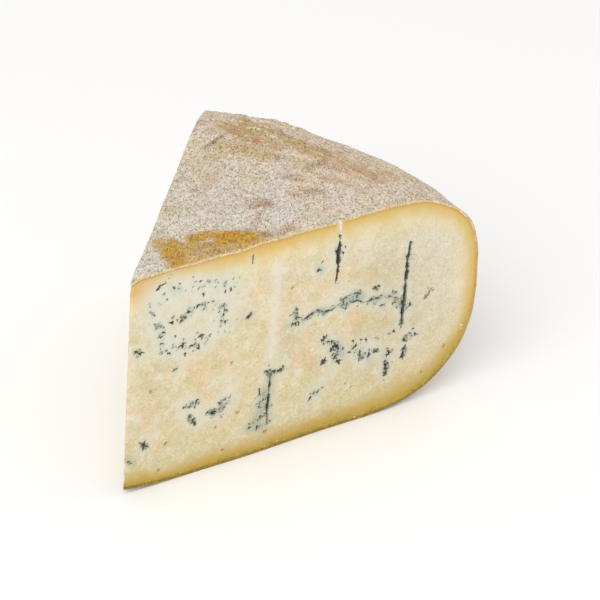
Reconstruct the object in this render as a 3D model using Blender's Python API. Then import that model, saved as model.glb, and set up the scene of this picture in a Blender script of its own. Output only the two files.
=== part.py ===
"""A wedge of semi-hard blue cheese, cut from a flat wheel 33 cm across and 10 cm high.

Both cuts start at the tip, which lies on the wheel's own axis. The near cut runs from the tip along +X
and faces -Y. The far cut stands at the wedge's angle to it. Z is up, and the origin is under the middle
of the wedge, on the surface that it rests on.
"""

import math
import random
from collections import namedtuple

import bmesh
import bpy
from mathutils import Matrix, Vector, noise

MM = 0.001

# The wheel and the wedge
WHEEL_RADIUS = 167 * MM
WHEEL_HEIGHT = 100 * MM
WEDGE_ANGLE = math.radians(47.0)

# The heel: how far in each shoulder starts, and how square it is (2 is an ellipse)
TOP_SHOULDER = 51 * MM
TOP_SQUARENESS = 2.65
BASE_SHOULDER = 56 * MM
BASE_SQUARENESS = 2.5

# The base is lifted a little round the wheel's axis, and the top sinks at the very tip
DISH_HEIGHT = 2.6 * MM
DISH_REACH = 30 * MM
TIP_DROP = 1.4 * MM
TIP_DROP_REACH = 6 * MM

# Relief of the rind: long swells, lumps, and a rough patch on the far part of the top shoulder
SWELL_SIZE = 34 * MM
SWELL_HEIGHT = 0.9 * MM
LUMP_SIZE = 11 * MM
LUMP_HEIGHT = 0.55 * MM
LUMP_PLACE = Vector((7, 3, 1))
CRAG_SIZE = 7.5 * MM
CRAG_HEIGHT = 3.4 * MM
CRAG_PLACE = Vector((2, 5, 9))
CRAG_ANGLE = math.radians(37.0)
CRAG_HALF_ANGLE = math.radians(8.0)
CRAG_RADIUS = 141 * MM
CRAG_HALF_WIDTH = 15 * MM

# The base carries the weight on a flat face, and its relief grows above that
BASE_FLAT = 1 * MM
BASE_FADE = 14 * MM

# The knife leaves each cut a little wavy, but not at the tip edge
KNIFE_WAVE_SIZE = 38 * MM
KNIFE_WAVE_HEIGHT = 0.5 * MM
KNIFE_WAVE_PLACE = Vector((4, 8, 2))
KNIFE_CALM_TIP = 18 * MM

# How finely the body is divided
FLAT_COLUMNS = 21
SHOULDER_COLUMNS = 13
ROWS = 15
TURNS = 19

# What counts as the same place, the same angle, and a face that lies on a cut
SAME_PLACE = 0.002 * MM
SAME_ANGLE = 1e-4
SLOPE_STEP = 0.05 * MM
CUT_FACING = 0.8
SHARP_EDGE = math.radians(40)

PASTE, RIND, MOULD = range(3)
FINISHES = (
    ("cream paste", (0.76, 0.65, 0.41), 0.5),
    ("grey rind", (0.60, 0.53, 0.43), 0.85),
    ("blue mould", (0.09, 0.11, 0.09), 0.8),
)

NEAR_CUT, FAR_CUT = range(2)
CUT_ANGLES = (0.0, WEDGE_ANGLE)

# Every cutter starts this far outside the surface that it cuts
OUTSIDE = 0.8 * MM

# A vein: mould-lined pits strewn along a path. Points are (along the cut from the tip, above the base).
# Points, spread and size are in millimetres.
Vein = namedtuple("Vein", "cut points spread pits size")
VEINS = (
    Vein(NEAR_CUT, ((13, 93), (20, 91), (30, 88), (41, 88), (47, 82)), 1.8, 15, 1.0),
    Vein(NEAR_CUT, ((44, 77), (43, 71), (45, 65)), 1.3, 8, 1.1),
    Vein(NEAR_CUT, ((9, 87), (11, 80), (15, 73), (15, 64)), 1.2, 10, 1.0),
    Vein(NEAR_CUT, ((18, 63), (25, 63), (30, 60), (36, 64)), 1.5, 11, 1.3),
    Vein(NEAR_CUT, ((20, 77), (25, 75), (29, 78), (37, 79)), 1.1, 8, 1.2),
    Vein(NEAR_CUT, ((4, 67), (5, 65)), 0.5, 3, 1.4),
    Vein(NEAR_CUT, ((54, 67), (56, 69)), 0.4, 2, 1.5),
    Vein(NEAR_CUT, ((22, 53), (23, 54)), 0.3, 1, 1.1),
    Vein(NEAR_CUT, ((27, 33), (34, 34)), 0.8, 4, 1.1),
    Vein(NEAR_CUT, ((29, 28), (33, 24)), 0.5, 3, 1.6),
    Vein(NEAR_CUT, ((38, 27), (43, 25), (47, 28), (43, 31)), 0.8, 10, 1.2),
    Vein(NEAR_CUT, ((8, 22), (10, 20)), 0.3, 3, 1.5),
    Vein(NEAR_CUT, ((65, 38), (69, 37), (73, 37)), 0.7, 5, 1.3),
    Vein(NEAR_CUT, ((58, 15), (62, 13), (64, 20), (62, 29)), 1.1, 7, 1.0),
    Vein(NEAR_CUT, ((77, 64), (78, 60), (77, 57)), 0.6, 4, 1.2),
    Vein(NEAR_CUT, ((94, 87), (97, 85), (99, 84)), 0.6, 3, 1.2),
    Vein(NEAR_CUT, ((115, 62.5), (117, 62.5)), 0.3, 2, 1.8),
    Vein(NEAR_CUT, ((118, 53), (126, 54), (128, 51), (134, 49)), 0.8, 7, 1.3),
    Vein(NEAR_CUT, ((91, 46), (94, 45), (97, 41), (98, 36), (100, 32)), 0.8, 12, 1.9),
    Vein(NEAR_CUT, ((92, 34), (93, 35)), 0.3, 2, 1.6),
    Vein(NEAR_CUT, ((106, 35), (109, 36), (112, 31), (118, 32)), 0.9, 9, 1.6),
    Vein(NEAR_CUT, ((106, 40), (112, 39), (126, 38)), 0.5, 4, 1.1),
    Vein(NEAR_CUT, ((126, 29), (124, 25), (124, 18)), 0.6, 6, 1.5),
    Vein(NEAR_CUT, ((132, 25), (133, 28.5)), 0.3, 3, 1.8),
    Vein(NEAR_CUT, ((132, 33), (135, 35), (138, 33)), 0.8, 5, 1.3),
    Vein(NEAR_CUT, ((87, 17), (89, 20), (93, 21)), 0.5, 4, 1.2),
    Vein(NEAR_CUT, ((141, 50), (144, 53.5)), 0.2, 2, 1.5),
    Vein(FAR_CUT, ((16, 78), (23, 74), (29, 79), (37, 77), (41, 70)), 1.6, 15, 1.2),
    Vein(FAR_CUT, ((14, 64), (20, 58), (30, 60), (38, 63)), 1.4, 11, 1.2),
    Vein(FAR_CUT, ((10, 34), (16, 28), (24, 30), (27, 22)), 1.4, 10, 1.3),
    Vein(FAR_CUT, ((47, 22), (54, 17), (63, 20)), 1.0, 7, 1.2),
    Vein(FAR_CUT, ((72, 80), (80, 84), (90, 79), (95, 70)), 1.4, 14, 1.4),
    Vein(FAR_CUT, ((74, 70), (82, 65), (89, 67)), 1.2, 8, 1.3),
    Vein(FAR_CUT, ((101, 60), (104, 56)), 0.4, 3, 1.7),
    Vein(FAR_CUT, ((84, 27), (92, 24), (98, 17)), 1.1, 8, 1.3),
    Vein(FAR_CUT, ((126, 62), (132, 57), (133, 48)), 1.2, 9, 1.5),
    Vein(FAR_CUT, ((120, 20), (128, 24), (136, 30)), 0.9, 6, 1.3),
    Vein(FAR_CUT, ((146, 60), (149, 57)), 0.3, 2, 1.4),
)

# A pit's ranges: where it lies in its stretch of the vein, and its size, length, width and depth as
# shares of the vein's size
PIT_SEED = 31
PIT_STRETCH = (0.2, 0.8)
PIT_SIZES = (0.6, 1.25)
PIT_LENGTHS = (0.8, 1.5)
PIT_WIDTHS = (0.65, 1.0)
PIT_DEPTHS = (0.55, 0.95)
PIT_SIDES = 6
PIT_MOUTH = 0.8
PIT_FLOOR = 0.36
PIT_REACH = 0.9
PIT_RAGGED = 0.1
PIT_SPACING = 0.35 * MM

# A slit: a needle's channel or a crack, laid open by the cut. Points, width and depth are in millimetres.
Slit = namedtuple("Slit", "cut points width depth")
SLITS = (
    Slit(NEAR_CUT, ((96.3, 93), (95.8, 86), (96.2, 79), (95.6, 71)), 1.5, 2.6),
    Slit(NEAR_CUT, ((95.2, 103), (95.6, 97), (95.9, 92.4)), 1.9, 0.9),
    Slit(NEAR_CUT, ((131.2, 80), (130.6, 70), (130.4, 58), (130, 48), (129.9, 39.5)), 1.2, 2.4),
    Slit(NEAR_CUT, ((66.9, 37.5), (66.8, 29), (66.2, 22), (66.6, 13)), 1.1, 2.0),
    Slit(NEAR_CUT, ((56, 95), (55.7, 92)), 1.0, 1.2),
    Slit(NEAR_CUT, ((80, 58), (86, 60), (91, 58.6), (97, 60), (104, 59), (110, 57), (121, 57.5)), 1.2, 2.2),
    Slit(NEAR_CUT, ((99.5, 61.6), (104, 63.4), (110, 61)), 1.0, 1.6),
    Slit(FAR_CUT, ((52, 88), (51.4, 70), (51.8, 47)), 1.3, 2.5),
    Slit(FAR_CUT, ((118, 74), (118.8, 55), (119.3, 33)), 1.3, 2.5),
    Slit(FAR_CUT, ((85.6, 102), (85.8, 97), (86, 90)), 1.8, 0.9),
    Slit(FAR_CUT, ((58, 40), (66, 44), (77, 43), (87, 46.5), (97, 45), (108, 49)), 1.2, 2.2),
)

# A slit's step along its path, how ragged its sides are, and how narrow its ends and its floor are
SLIT_SEED = 12
SLIT_STEP = 4 * MM
SLIT_RAGGED = (0.75, 1.2)
SLIT_END = 0.25
SLIT_END_ROUND = 0.35
SLIT_FLOOR = 0.4

# Dimples in the top rind where needles went in, as (along the near cut, away from it, across), in mm
NEEDLE_MARKS = ((73, 25, 4.2), (98, 35, 3.6), (84, 75, 3.0), (127, 21, 3.4), (44, 39, 2.6))
MARK_DEPTH = 0.9 * MM
MARK_SEED = 5
MARK_RAGGED = 0.12

# Crumbs broken off the tip edge, as (above the base, across), in mm
TIP_CHIPS = ((8, 3.2), (14.5, 1.8), (97, 3.0))
CHIP_OUTSIDE = 0.28


def smooth_step(share):
    """0 up to share 0, 1 from share 1, and smooth between."""
    share = min(1.0, max(0.0, share))
    return share * share * (3 - 2 * share)


def in_band(value, middle, half_width):
    """1 in the inner half of a band, falling smoothly to 0 at its edges."""
    return 1 - smooth_step(2 * abs(value - middle) / half_width - 1)


def shoulder_share(radius, reach, squareness):
    """1 where the wheel is flat, falling to 0 at its widest point along a superellipse."""
    inward = max(0.0, (radius - (WHEEL_RADIUS - reach)) / reach)
    return max(0.0, 1 - inward**squareness) ** (1 / squareness)


def top_height(radius):
    half = WHEEL_HEIGHT / 2
    drop = TIP_DROP * max(0.0, 1 - radius / TIP_DROP_REACH) ** 2
    return half + half * shoulder_share(radius, TOP_SHOULDER, TOP_SQUARENESS) - drop


def base_height(radius):
    half = WHEEL_HEIGHT / 2
    lift = DISH_HEIGHT * max(0.0, 1 - radius / DISH_REACH) ** 2
    return half - half * shoulder_share(radius, BASE_SHOULDER, BASE_SQUARENESS) + lift


def column_radii():
    """Where the cut's columns stand: evenly under the flat top, closer together towards the heel."""
    flat_end = WHEEL_RADIUS - TOP_SHOULDER
    radii = [flat_end * i / FLAT_COLUMNS for i in range(FLAT_COLUMNS)]
    for i in range(SHOULDER_COLUMNS + 1):
        turn = math.pi / 2 * i / SHOULDER_COLUMNS
        radii.append(flat_end + TOP_SHOULDER * math.sin(turn) ** (2 / TOP_SQUARENESS))
    return radii


def draw_cut(bm):
    """The wheel's half profile as a grid of faces, from its axis to its widest point."""
    columns = []
    for radius in column_radii():
        low, high = base_height(radius), top_height(radius)
        steps = ROWS if high - low > SAME_PLACE else 0
        heights = [low + (high - low) * i / steps for i in range(steps + 1)] if steps else [low]
        columns.append([bm.verts.new((radius, 0, height)) for height in heights])
    for inner, outer in zip(columns, columns[1:]):
        for row in range(ROWS):
            if len(outer) == 1:
                bm.faces.new((inner[row], outer[0], inner[row + 1]))
            else:
                bm.faces.new((inner[row], outer[row], outer[row + 1], inner[row + 1]))


def outline_normal(height_at, radius, upward):
    """The outward direction of the profile, as (away from the axis, up)."""
    inner = max(0.0, radius - SLOPE_STEP)
    slope = (height_at(radius) - height_at(inner)) / (radius - inner) if radius > inner else 0.0
    across, up = (-slope, 1.0) if upward else (slope, -1.0)
    length = math.hypot(across, up)
    return across / length, up / length


def rind_relief(point, radius, angle):
    """How far the rind stands out at a point, in metres."""
    height = SWELL_HEIGHT * noise.noise(point / SWELL_SIZE)
    height += LUMP_HEIGHT * noise.noise(point / LUMP_SIZE + LUMP_PLACE)
    rough = in_band(angle, CRAG_ANGLE, CRAG_HALF_ANGLE) * in_band(radius, CRAG_RADIUS, CRAG_HALF_WIDTH)
    return height + CRAG_HEIGHT * rough * abs(noise.noise(point / CRAG_SIZE + CRAG_PLACE))


def knife_wave(point, radius):
    """How far the knife left a cut from its plane, in metres."""
    calm = smooth_step(radius / KNIFE_CALM_TIP)
    return calm * KNIFE_WAVE_HEIGHT * noise.noise(point / KNIFE_WAVE_SIZE + KNIFE_WAVE_PLACE)


def roughen(bm):
    """Gives the rind its swells and lumps, and each cut the knife's waves."""
    for vert in bm.verts:
        point = vert.co.copy()
        radius = math.hypot(point.x, point.y)
        if radius < SAME_PLACE:
            continue
        angle = math.atan2(point.y, point.x)
        moved = Vector()
        for height_at, upward in ((top_height, True), (base_height, False)):
            if abs(point.z - height_at(radius)) > SAME_PLACE:
                continue
            free = 1.0 if upward else smooth_step((point.z - BASE_FLAT) / BASE_FADE)
            across, up = outline_normal(height_at, radius, upward)
            outward = Vector((across * math.cos(angle), across * math.sin(angle), up))
            moved += outward * rind_relief(point, radius, angle) * free
            break
        for cut, cut_angle in enumerate(CUT_ANGLES):
            if abs(angle - cut_angle) < SAME_ANGLE:
                moved += facing(cut) * knife_wave(point, radius)
        vert.co = point + moved


def facing(cut):
    """The outward direction of a cut."""
    angle = CUT_ANGLES[cut]
    return Vector((math.sin(angle), -math.cos(angle), 0)) * (1 if cut == NEAR_CUT else -1)


def paint_faces(bm):
    """Paste on the two cuts, rind everywhere else."""
    for face in bm.faces:
        centre = face.calc_center_median()
        angle = math.atan2(centre.y, centre.x)
        round_axis = Vector((-math.sin(angle), math.cos(angle), 0))
        face.material_index = PASTE if abs(face.normal.dot(round_axis)) > CUT_FACING else RIND
        face.smooth = True


def wedge_centre():
    """Where the middle of the wedge's box lies, seen from the wheel's axis."""
    return Vector((WHEEL_RADIUS / 2, WHEEL_RADIUS * math.sin(WEDGE_ANGLE) / 2, 0))


def build_wedge(materials):
    bm = bmesh.new()
    draw_cut(bm)
    bmesh.ops.spin(
        bm,
        geom=bm.verts[:] + bm.edges[:] + bm.faces[:],
        cent=(0, 0, 0),
        axis=(0, 0, 1),
        angle=WEDGE_ANGLE,
        steps=TURNS,
    )
    bmesh.ops.remove_doubles(bm, verts=bm.verts[:], dist=SAME_PLACE)
    bmesh.ops.recalc_face_normals(bm, faces=bm.faces[:])
    paint_faces(bm)
    roughen(bm)
    bmesh.ops.translate(bm, verts=bm.verts[:], vec=-wedge_centre())
    return add_object("cheese_wedge", bm, materials)


def add_object(name, bm, materials):
    mesh = bpy.data.meshes.new(name)
    bm.to_mesh(mesh)
    bm.free()
    mesh.set_sharp_from_angle(angle=SHARP_EDGE)
    obj = bpy.data.objects.new(name, mesh)
    bpy.context.scene.collection.objects.link(obj)
    for material in materials:
        mesh.materials.append(material)
    return obj


def cut_frame(cut):
    """The matrix from a cut's own axes (along it, up, outward from it) to the part's frame."""
    angle = CUT_ANGLES[cut]
    along = Vector((math.cos(angle), math.sin(angle), 0))
    frame = Matrix((along, Vector((0, 0, 1)), facing(cut))).transposed().to_4x4()
    frame.translation = -wedge_centre()
    return frame


def path_lengths(points):
    return [(Vector(b) - Vector(a)).length for a, b in zip(points, points[1:])]


def point_on_path(points, share):
    """The point at a share of a path's length."""
    lengths = path_lengths(points)
    left = share * sum(lengths)
    for start, end, length in zip(points, points[1:], lengths):
        if left <= length:
            return Vector(start).lerp(Vector(end), left / length)
        left -= length
    return Vector(points[-1])


def pit_places(vein, draw):
    """Places and sizes of a vein's pits, in millimetres."""
    for i in range(vein.pits):
        place = point_on_path(vein.points, (i + draw.uniform(*PIT_STRETCH)) / vein.pits)
        place += Vector((draw.gauss(0, vein.spread), draw.gauss(0, vein.spread)))
        yield place, vein.size * draw.uniform(*PIT_SIZES)


def sink_pit(bm, frame, place, size, draw):
    """One ragged pit: a cone with its wide end outside the cut."""
    depth = size * MM * draw.uniform(*PIT_DEPTHS)
    middle = Matrix.Translation((place.x * MM, place.y * MM, (OUTSIDE - depth) / 2))
    turn = Matrix.Rotation(draw.uniform(0, math.tau), 4, "Z")
    stretch = Matrix.Diagonal((draw.uniform(*PIT_LENGTHS), draw.uniform(*PIT_WIDTHS), 1, 1))
    made = bmesh.ops.create_cone(
        bm,
        cap_ends=True,
        segments=PIT_SIDES,
        radius1=size * MM * PIT_FLOOR,
        radius2=size * MM * PIT_MOUTH,
        depth=depth + OUTSIDE,
        matrix=frame @ middle @ turn @ stretch,
    )
    jitter(made["verts"], size * MM * PIT_RAGGED, draw)


def jitter(verts, most, draw):
    for vert in verts:
        vert.co += Vector([draw.uniform(-most, most) for _ in range(3)])


def build_pits(materials):
    """The pits of every vein, each one clear of those already made."""
    draw = random.Random(PIT_SEED)
    bm = bmesh.new()
    taken = []
    for vein in VEINS:
        frame = cut_frame(vein.cut)
        for place, size in pit_places(vein, draw):
            reach = size * MM * PIT_REACH
            if any(
                cut == vein.cut and (place - other).length * MM < reach + other_reach + PIT_SPACING
                for cut, other, other_reach in taken
            ):
                continue
            taken.append((vein.cut, place, reach))
            sink_pit(bm, frame, place, size, draw)
    return finish_cutter("pits", bm, materials)


def slit_outline(slit, draw):
    """The slit's two ragged sides and its centre line, in millimetres."""
    steps = max(3, round(sum(path_lengths(slit.points)) * MM / SLIT_STEP))
    line = [point_on_path(slit.points, i / steps) for i in range(steps + 1)]
    left, right = [], []
    for i, point in enumerate(line):
        along = (line[min(steps, i + 1)] - line[max(0, i - 1)]).normalized()
        across = Vector((-along.y, along.x)) * slit.width / 2
        share = (i + SLIT_END_ROUND) / (steps + 2 * SLIT_END_ROUND)
        across *= max(SLIT_END, math.sin(math.pi * share) ** 0.5)
        left.append(point + across * draw.uniform(*SLIT_RAGGED))
        right.append(point - across * draw.uniform(*SLIT_RAGGED))
    return left, right, line


def cut_slit(bm, slit, draw):
    """A closed strip, wide at the cut and narrow at its floor."""
    frame = cut_frame(slit.cut)
    left, right, line = slit_outline(slit, draw)
    rim = left + right[::-1]
    centres = line + line[::-1]
    outer, inner = [], []
    for edge, centre in zip(rim, centres):
        floor = centre.lerp(edge, SLIT_FLOOR)
        outer.append(bm.verts.new(frame @ Vector((edge.x * MM, edge.y * MM, OUTSIDE))))
        inner.append(bm.verts.new(frame @ Vector((floor.x * MM, floor.y * MM, -slit.depth * MM))))
    last = len(rim) - 1
    for i in range(len(rim)):
        j = (i + 1) % len(rim)
        bm.faces.new((outer[i], outer[j], inner[j], inner[i]))
    for ring in (outer, inner):
        for i in range(len(left) - 1):
            bm.faces.new((ring[i], ring[i + 1], ring[last - i - 1], ring[last - i]))


def build_slits(materials):
    draw = random.Random(SLIT_SEED)
    cutters = []
    for number, slit in enumerate(SLITS):
        bm = bmesh.new()
        cut_slit(bm, slit, draw)
        cutters.append(finish_cutter(f"slit_{number}", bm, materials))
    return cutters


def build_marks(materials):
    """The needle marks in the top, and the crumbs that broke off the tip edge."""
    draw = random.Random(MARK_SEED)
    bm = bmesh.new()
    lumps = []
    for along, away, across in NEEDLE_MARKS:
        radius = across / 2 * MM
        lumps.append((Vector((along * MM, away * MM, WHEEL_HEIGHT + radius - MARK_DEPTH)), radius))
    for height, across in TIP_CHIPS:
        lumps.append((Vector((-across * CHIP_OUTSIDE * MM, 0, height * MM)), across / 2 * MM))
    for centre, radius in lumps:
        made = bmesh.ops.create_icosphere(
            bm,
            subdivisions=1,
            radius=radius,
            matrix=Matrix.Translation(centre - wedge_centre()),
        )
        jitter(made["verts"], radius * MARK_RAGGED, draw)
    return finish_cutter("marks", bm, materials)


def finish_cutter(name, bm, materials):
    bmesh.ops.recalc_face_normals(bm, faces=bm.faces[:])
    for face in bm.faces:
        face.material_index = MOULD
    cutter = add_object(name, bm, materials)
    cutter.display_type = "WIRE"
    cutter.hide_render = True
    return cutter


def cut_away(wedge, cutter):
    modifier = wedge.modifiers.new(cutter.name, "BOOLEAN")
    modifier.operation = "DIFFERENCE"
    modifier.solver = "EXACT"
    modifier.object = cutter


def principled(name, colour, roughness):
    material = bpy.data.materials.new(name)
    material.use_nodes = True
    shader = material.node_tree.nodes["Principled BSDF"]
    shader.inputs["Base Color"].default_value = (*colour, 1)
    shader.inputs["Roughness"].default_value = roughness
    shader.inputs["Metallic"].default_value = 0.0
    material.diffuse_color = (*colour, 1)
    return material


def clear_scene():
    for obj in list(bpy.data.objects):
        bpy.data.objects.remove(obj)


def main():
    clear_scene()
    materials = [principled(*finish) for finish in FINISHES]
    wedge = build_wedge(materials)
    for cutter in (*build_slits(materials), build_marks(materials), build_pits(materials)):
        cut_away(wedge, cutter)


main()
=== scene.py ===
"""The looks of a blue cheese wedge: knife-cut paste, natural rind and blue mould."""

import math
import random
from collections import namedtuple

import bmesh
import bpy
import numpy as np
from bpy.props import FloatProperty, FloatVectorProperty, IntProperty, PointerProperty
from mathutils import Matrix, Vector, noise


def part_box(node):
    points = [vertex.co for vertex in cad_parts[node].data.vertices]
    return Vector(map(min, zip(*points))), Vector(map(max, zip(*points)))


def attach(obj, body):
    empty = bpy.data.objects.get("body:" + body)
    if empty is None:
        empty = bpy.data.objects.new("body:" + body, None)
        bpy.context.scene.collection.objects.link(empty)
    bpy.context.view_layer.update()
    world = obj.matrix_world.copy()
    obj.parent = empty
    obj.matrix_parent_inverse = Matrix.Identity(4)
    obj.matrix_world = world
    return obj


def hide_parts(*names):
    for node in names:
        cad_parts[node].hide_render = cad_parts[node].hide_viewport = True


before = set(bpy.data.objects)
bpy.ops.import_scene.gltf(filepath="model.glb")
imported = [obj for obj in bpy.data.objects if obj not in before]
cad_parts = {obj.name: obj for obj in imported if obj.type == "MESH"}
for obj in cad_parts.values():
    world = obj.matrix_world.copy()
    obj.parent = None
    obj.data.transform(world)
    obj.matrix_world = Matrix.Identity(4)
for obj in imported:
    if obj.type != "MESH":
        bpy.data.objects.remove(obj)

bl_info = {
    "name": "Blue cheese wedge",
    "version": (1, 0, 0),
    "blender": (4, 5, 0),
    "location": "3D View > Sidebar > Cheese",
    "description": "Dresses a wedge of blue cheese with paste, rind, mould and crumbs",
    "category": "Add Mesh",
}

MM = 0.001
NODE = "cheese_wedge"
BODY = "root"
LOW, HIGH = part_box(NODE)
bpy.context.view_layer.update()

# The wheel and the wedge
WHEEL_RADIUS = HIGH.x - LOW.x
WHEEL_HEIGHT = 100 * MM
WEDGE_ANGLE = math.radians(47.0)
TIP = Vector((LOW.x, -WHEEL_RADIUS * math.sin(WEDGE_ANGLE) / 2, 0))

# The heel: how far in each shoulder starts, and how square it is (2 is an ellipse)
TOP_SHOULDER = 51 * MM
TOP_SQUARENESS = 2.65
BASE_SHOULDER = 56 * MM
BASE_SQUARENESS = 2.5

# The base is lifted a little round the wheel's axis, and the top sinks at the very tip
DISH_HEIGHT = 2.6 * MM
DISH_REACH = 30 * MM
TIP_DROP = 1.4 * MM
TIP_DROP_REACH = 6 * MM

# Relief of the rind: long swells, lumps, and a rough patch on the far part of the top shoulder
SWELL_SIZE = 34 * MM
SWELL_HEIGHT = 0.9 * MM
LUMP_SIZE = 11 * MM
LUMP_HEIGHT = 0.55 * MM
LUMP_PLACE = Vector((7, 3, 1))
CRAG_SIZE = 7.5 * MM
CRAG_HEIGHT = 3.4 * MM
CRAG_PLACE = Vector((2, 5, 9))
CRAG_ANGLE = math.radians(37.0)
CRAG_HALF_ANGLE = math.radians(8.0)
CRAG_RADIUS = 141 * MM
CRAG_HALF_WIDTH = 15 * MM
BASE_FLAT = 1 * MM
BASE_FADE = 14 * MM
AXIS_CALM = 2 * MM

# The knife's waves on a cut
KNIFE_WAVE_SIZE = 38 * MM
KNIFE_WAVE_HEIGHT = 0.5 * MM
KNIFE_WAVE_PLACE = Vector((4, 8, 2))
KNIFE_CALM_TIP = 18 * MM

NEAR_CUT, FAR_CUT = range(2)
CUT_ANGLES = (0.0, WEDGE_ANGLE)

# A vein: mould-lined pits strewn along a path. Points are (along the cut from the tip, above the base),
# and spread is how far a pit strays, both in mm. Size is a pit's half width in mm.
Vein = namedtuple("Vein", "cut points spread pits size")
VEINS = [Vein(cut, *row) for cut, rows in (
    (NEAR_CUT, (
        (((13, 93), (20, 91), (30, 88), (41, 88), (47, 82)), 1.8, 15, 1.0),
        (((44, 77), (43, 71), (45, 65)), 1.3, 8, 1.1),
        (((9, 87), (11, 80), (15, 73), (15, 64)), 1.2, 10, 1.0),
        (((18, 63), (25, 63), (30, 60), (36, 64)), 1.5, 11, 1.3),
        (((20, 77), (25, 75), (29, 78), (37, 79)), 1.1, 8, 1.2),
        (((4, 67), (5, 65)), 0.5, 3, 1.4),
        (((54, 67), (56, 69)), 0.4, 2, 1.5),
        (((22, 53), (23, 54)), 0.3, 1, 1.1),
        (((27, 33), (34, 34)), 0.8, 4, 1.1),
        (((29, 28), (33, 24)), 0.5, 3, 1.6),
        (((38, 27), (43, 25), (47, 28), (43, 31)), 0.8, 10, 1.2),
        (((8, 22), (10, 20)), 0.3, 3, 1.5),
        (((65, 38), (69, 37), (73, 37)), 0.7, 5, 1.3),
        (((58, 15), (62, 13), (64, 20), (62, 29)), 1.1, 7, 1.0),
        (((77, 64), (78, 60), (77, 57)), 0.6, 4, 1.2),
        (((94, 87), (97, 85), (99, 84)), 0.6, 3, 1.2),
        (((115, 62.5), (117, 62.5)), 0.3, 2, 1.8),
        (((118, 53), (126, 54), (128, 51), (134, 49)), 0.8, 7, 1.3),
        (((91, 46), (94, 45), (97, 41), (98, 36), (100, 32)), 0.8, 12, 1.9),
        (((92, 34), (93, 35)), 0.3, 2, 1.6),
        (((106, 35), (109, 36), (112, 31), (118, 32)), 0.9, 9, 1.6),
        (((106, 40), (112, 39), (126, 38)), 0.5, 4, 1.1),
        (((126, 29), (124, 25), (124, 18)), 0.6, 6, 1.5),
        (((132, 25), (133, 28.5)), 0.3, 3, 1.8),
        (((132, 33), (135, 35), (138, 33)), 0.8, 5, 1.3),
        (((87, 17), (89, 20), (93, 21)), 0.5, 4, 1.2),
        (((141, 50), (144, 53.5)), 0.2, 2, 1.5),
    )),
    (FAR_CUT, (
        (((16, 78), (23, 74), (29, 79), (37, 77), (41, 70)), 1.6, 15, 1.2),
        (((14, 64), (20, 58), (30, 60), (38, 63)), 1.4, 11, 1.2),
        (((10, 34), (16, 28), (24, 30), (27, 22)), 1.4, 10, 1.3),
        (((47, 22), (54, 17), (63, 20)), 1.0, 7, 1.2),
        (((72, 80), (80, 84), (90, 79), (95, 70)), 1.4, 14, 1.4),
        (((74, 70), (82, 65), (89, 67)), 1.2, 8, 1.3),
        (((101, 60), (104, 56)), 0.4, 3, 1.7),
        (((84, 27), (92, 24), (98, 17)), 1.1, 8, 1.3),
        (((126, 62), (132, 57), (133, 48)), 1.2, 9, 1.5),
        (((120, 20), (128, 24), (136, 30)), 0.9, 6, 1.3),
        (((146, 60), (149, 57)), 0.3, 2, 1.4),
    )),
) for row in rows]

# A pit's ranges: where it lies in its stretch of the vein, and its size, length, width and depth as
# shares of the vein's size
Pit = namedtuple("Pit", "cut place size depth turn length width")
PIT_SEED = 31
PIT_STRETCH = (0.2, 0.8)
PIT_SIZES = (0.6, 1.25)
PIT_LENGTHS = (0.8, 1.5)
PIT_WIDTHS = (0.65, 1.0)
PIT_DEPTHS = (0.55, 0.95)
PIT_REACH = 0.9
PIT_SPACING = 0.35
PIT_MOUTH = 0.56

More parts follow.
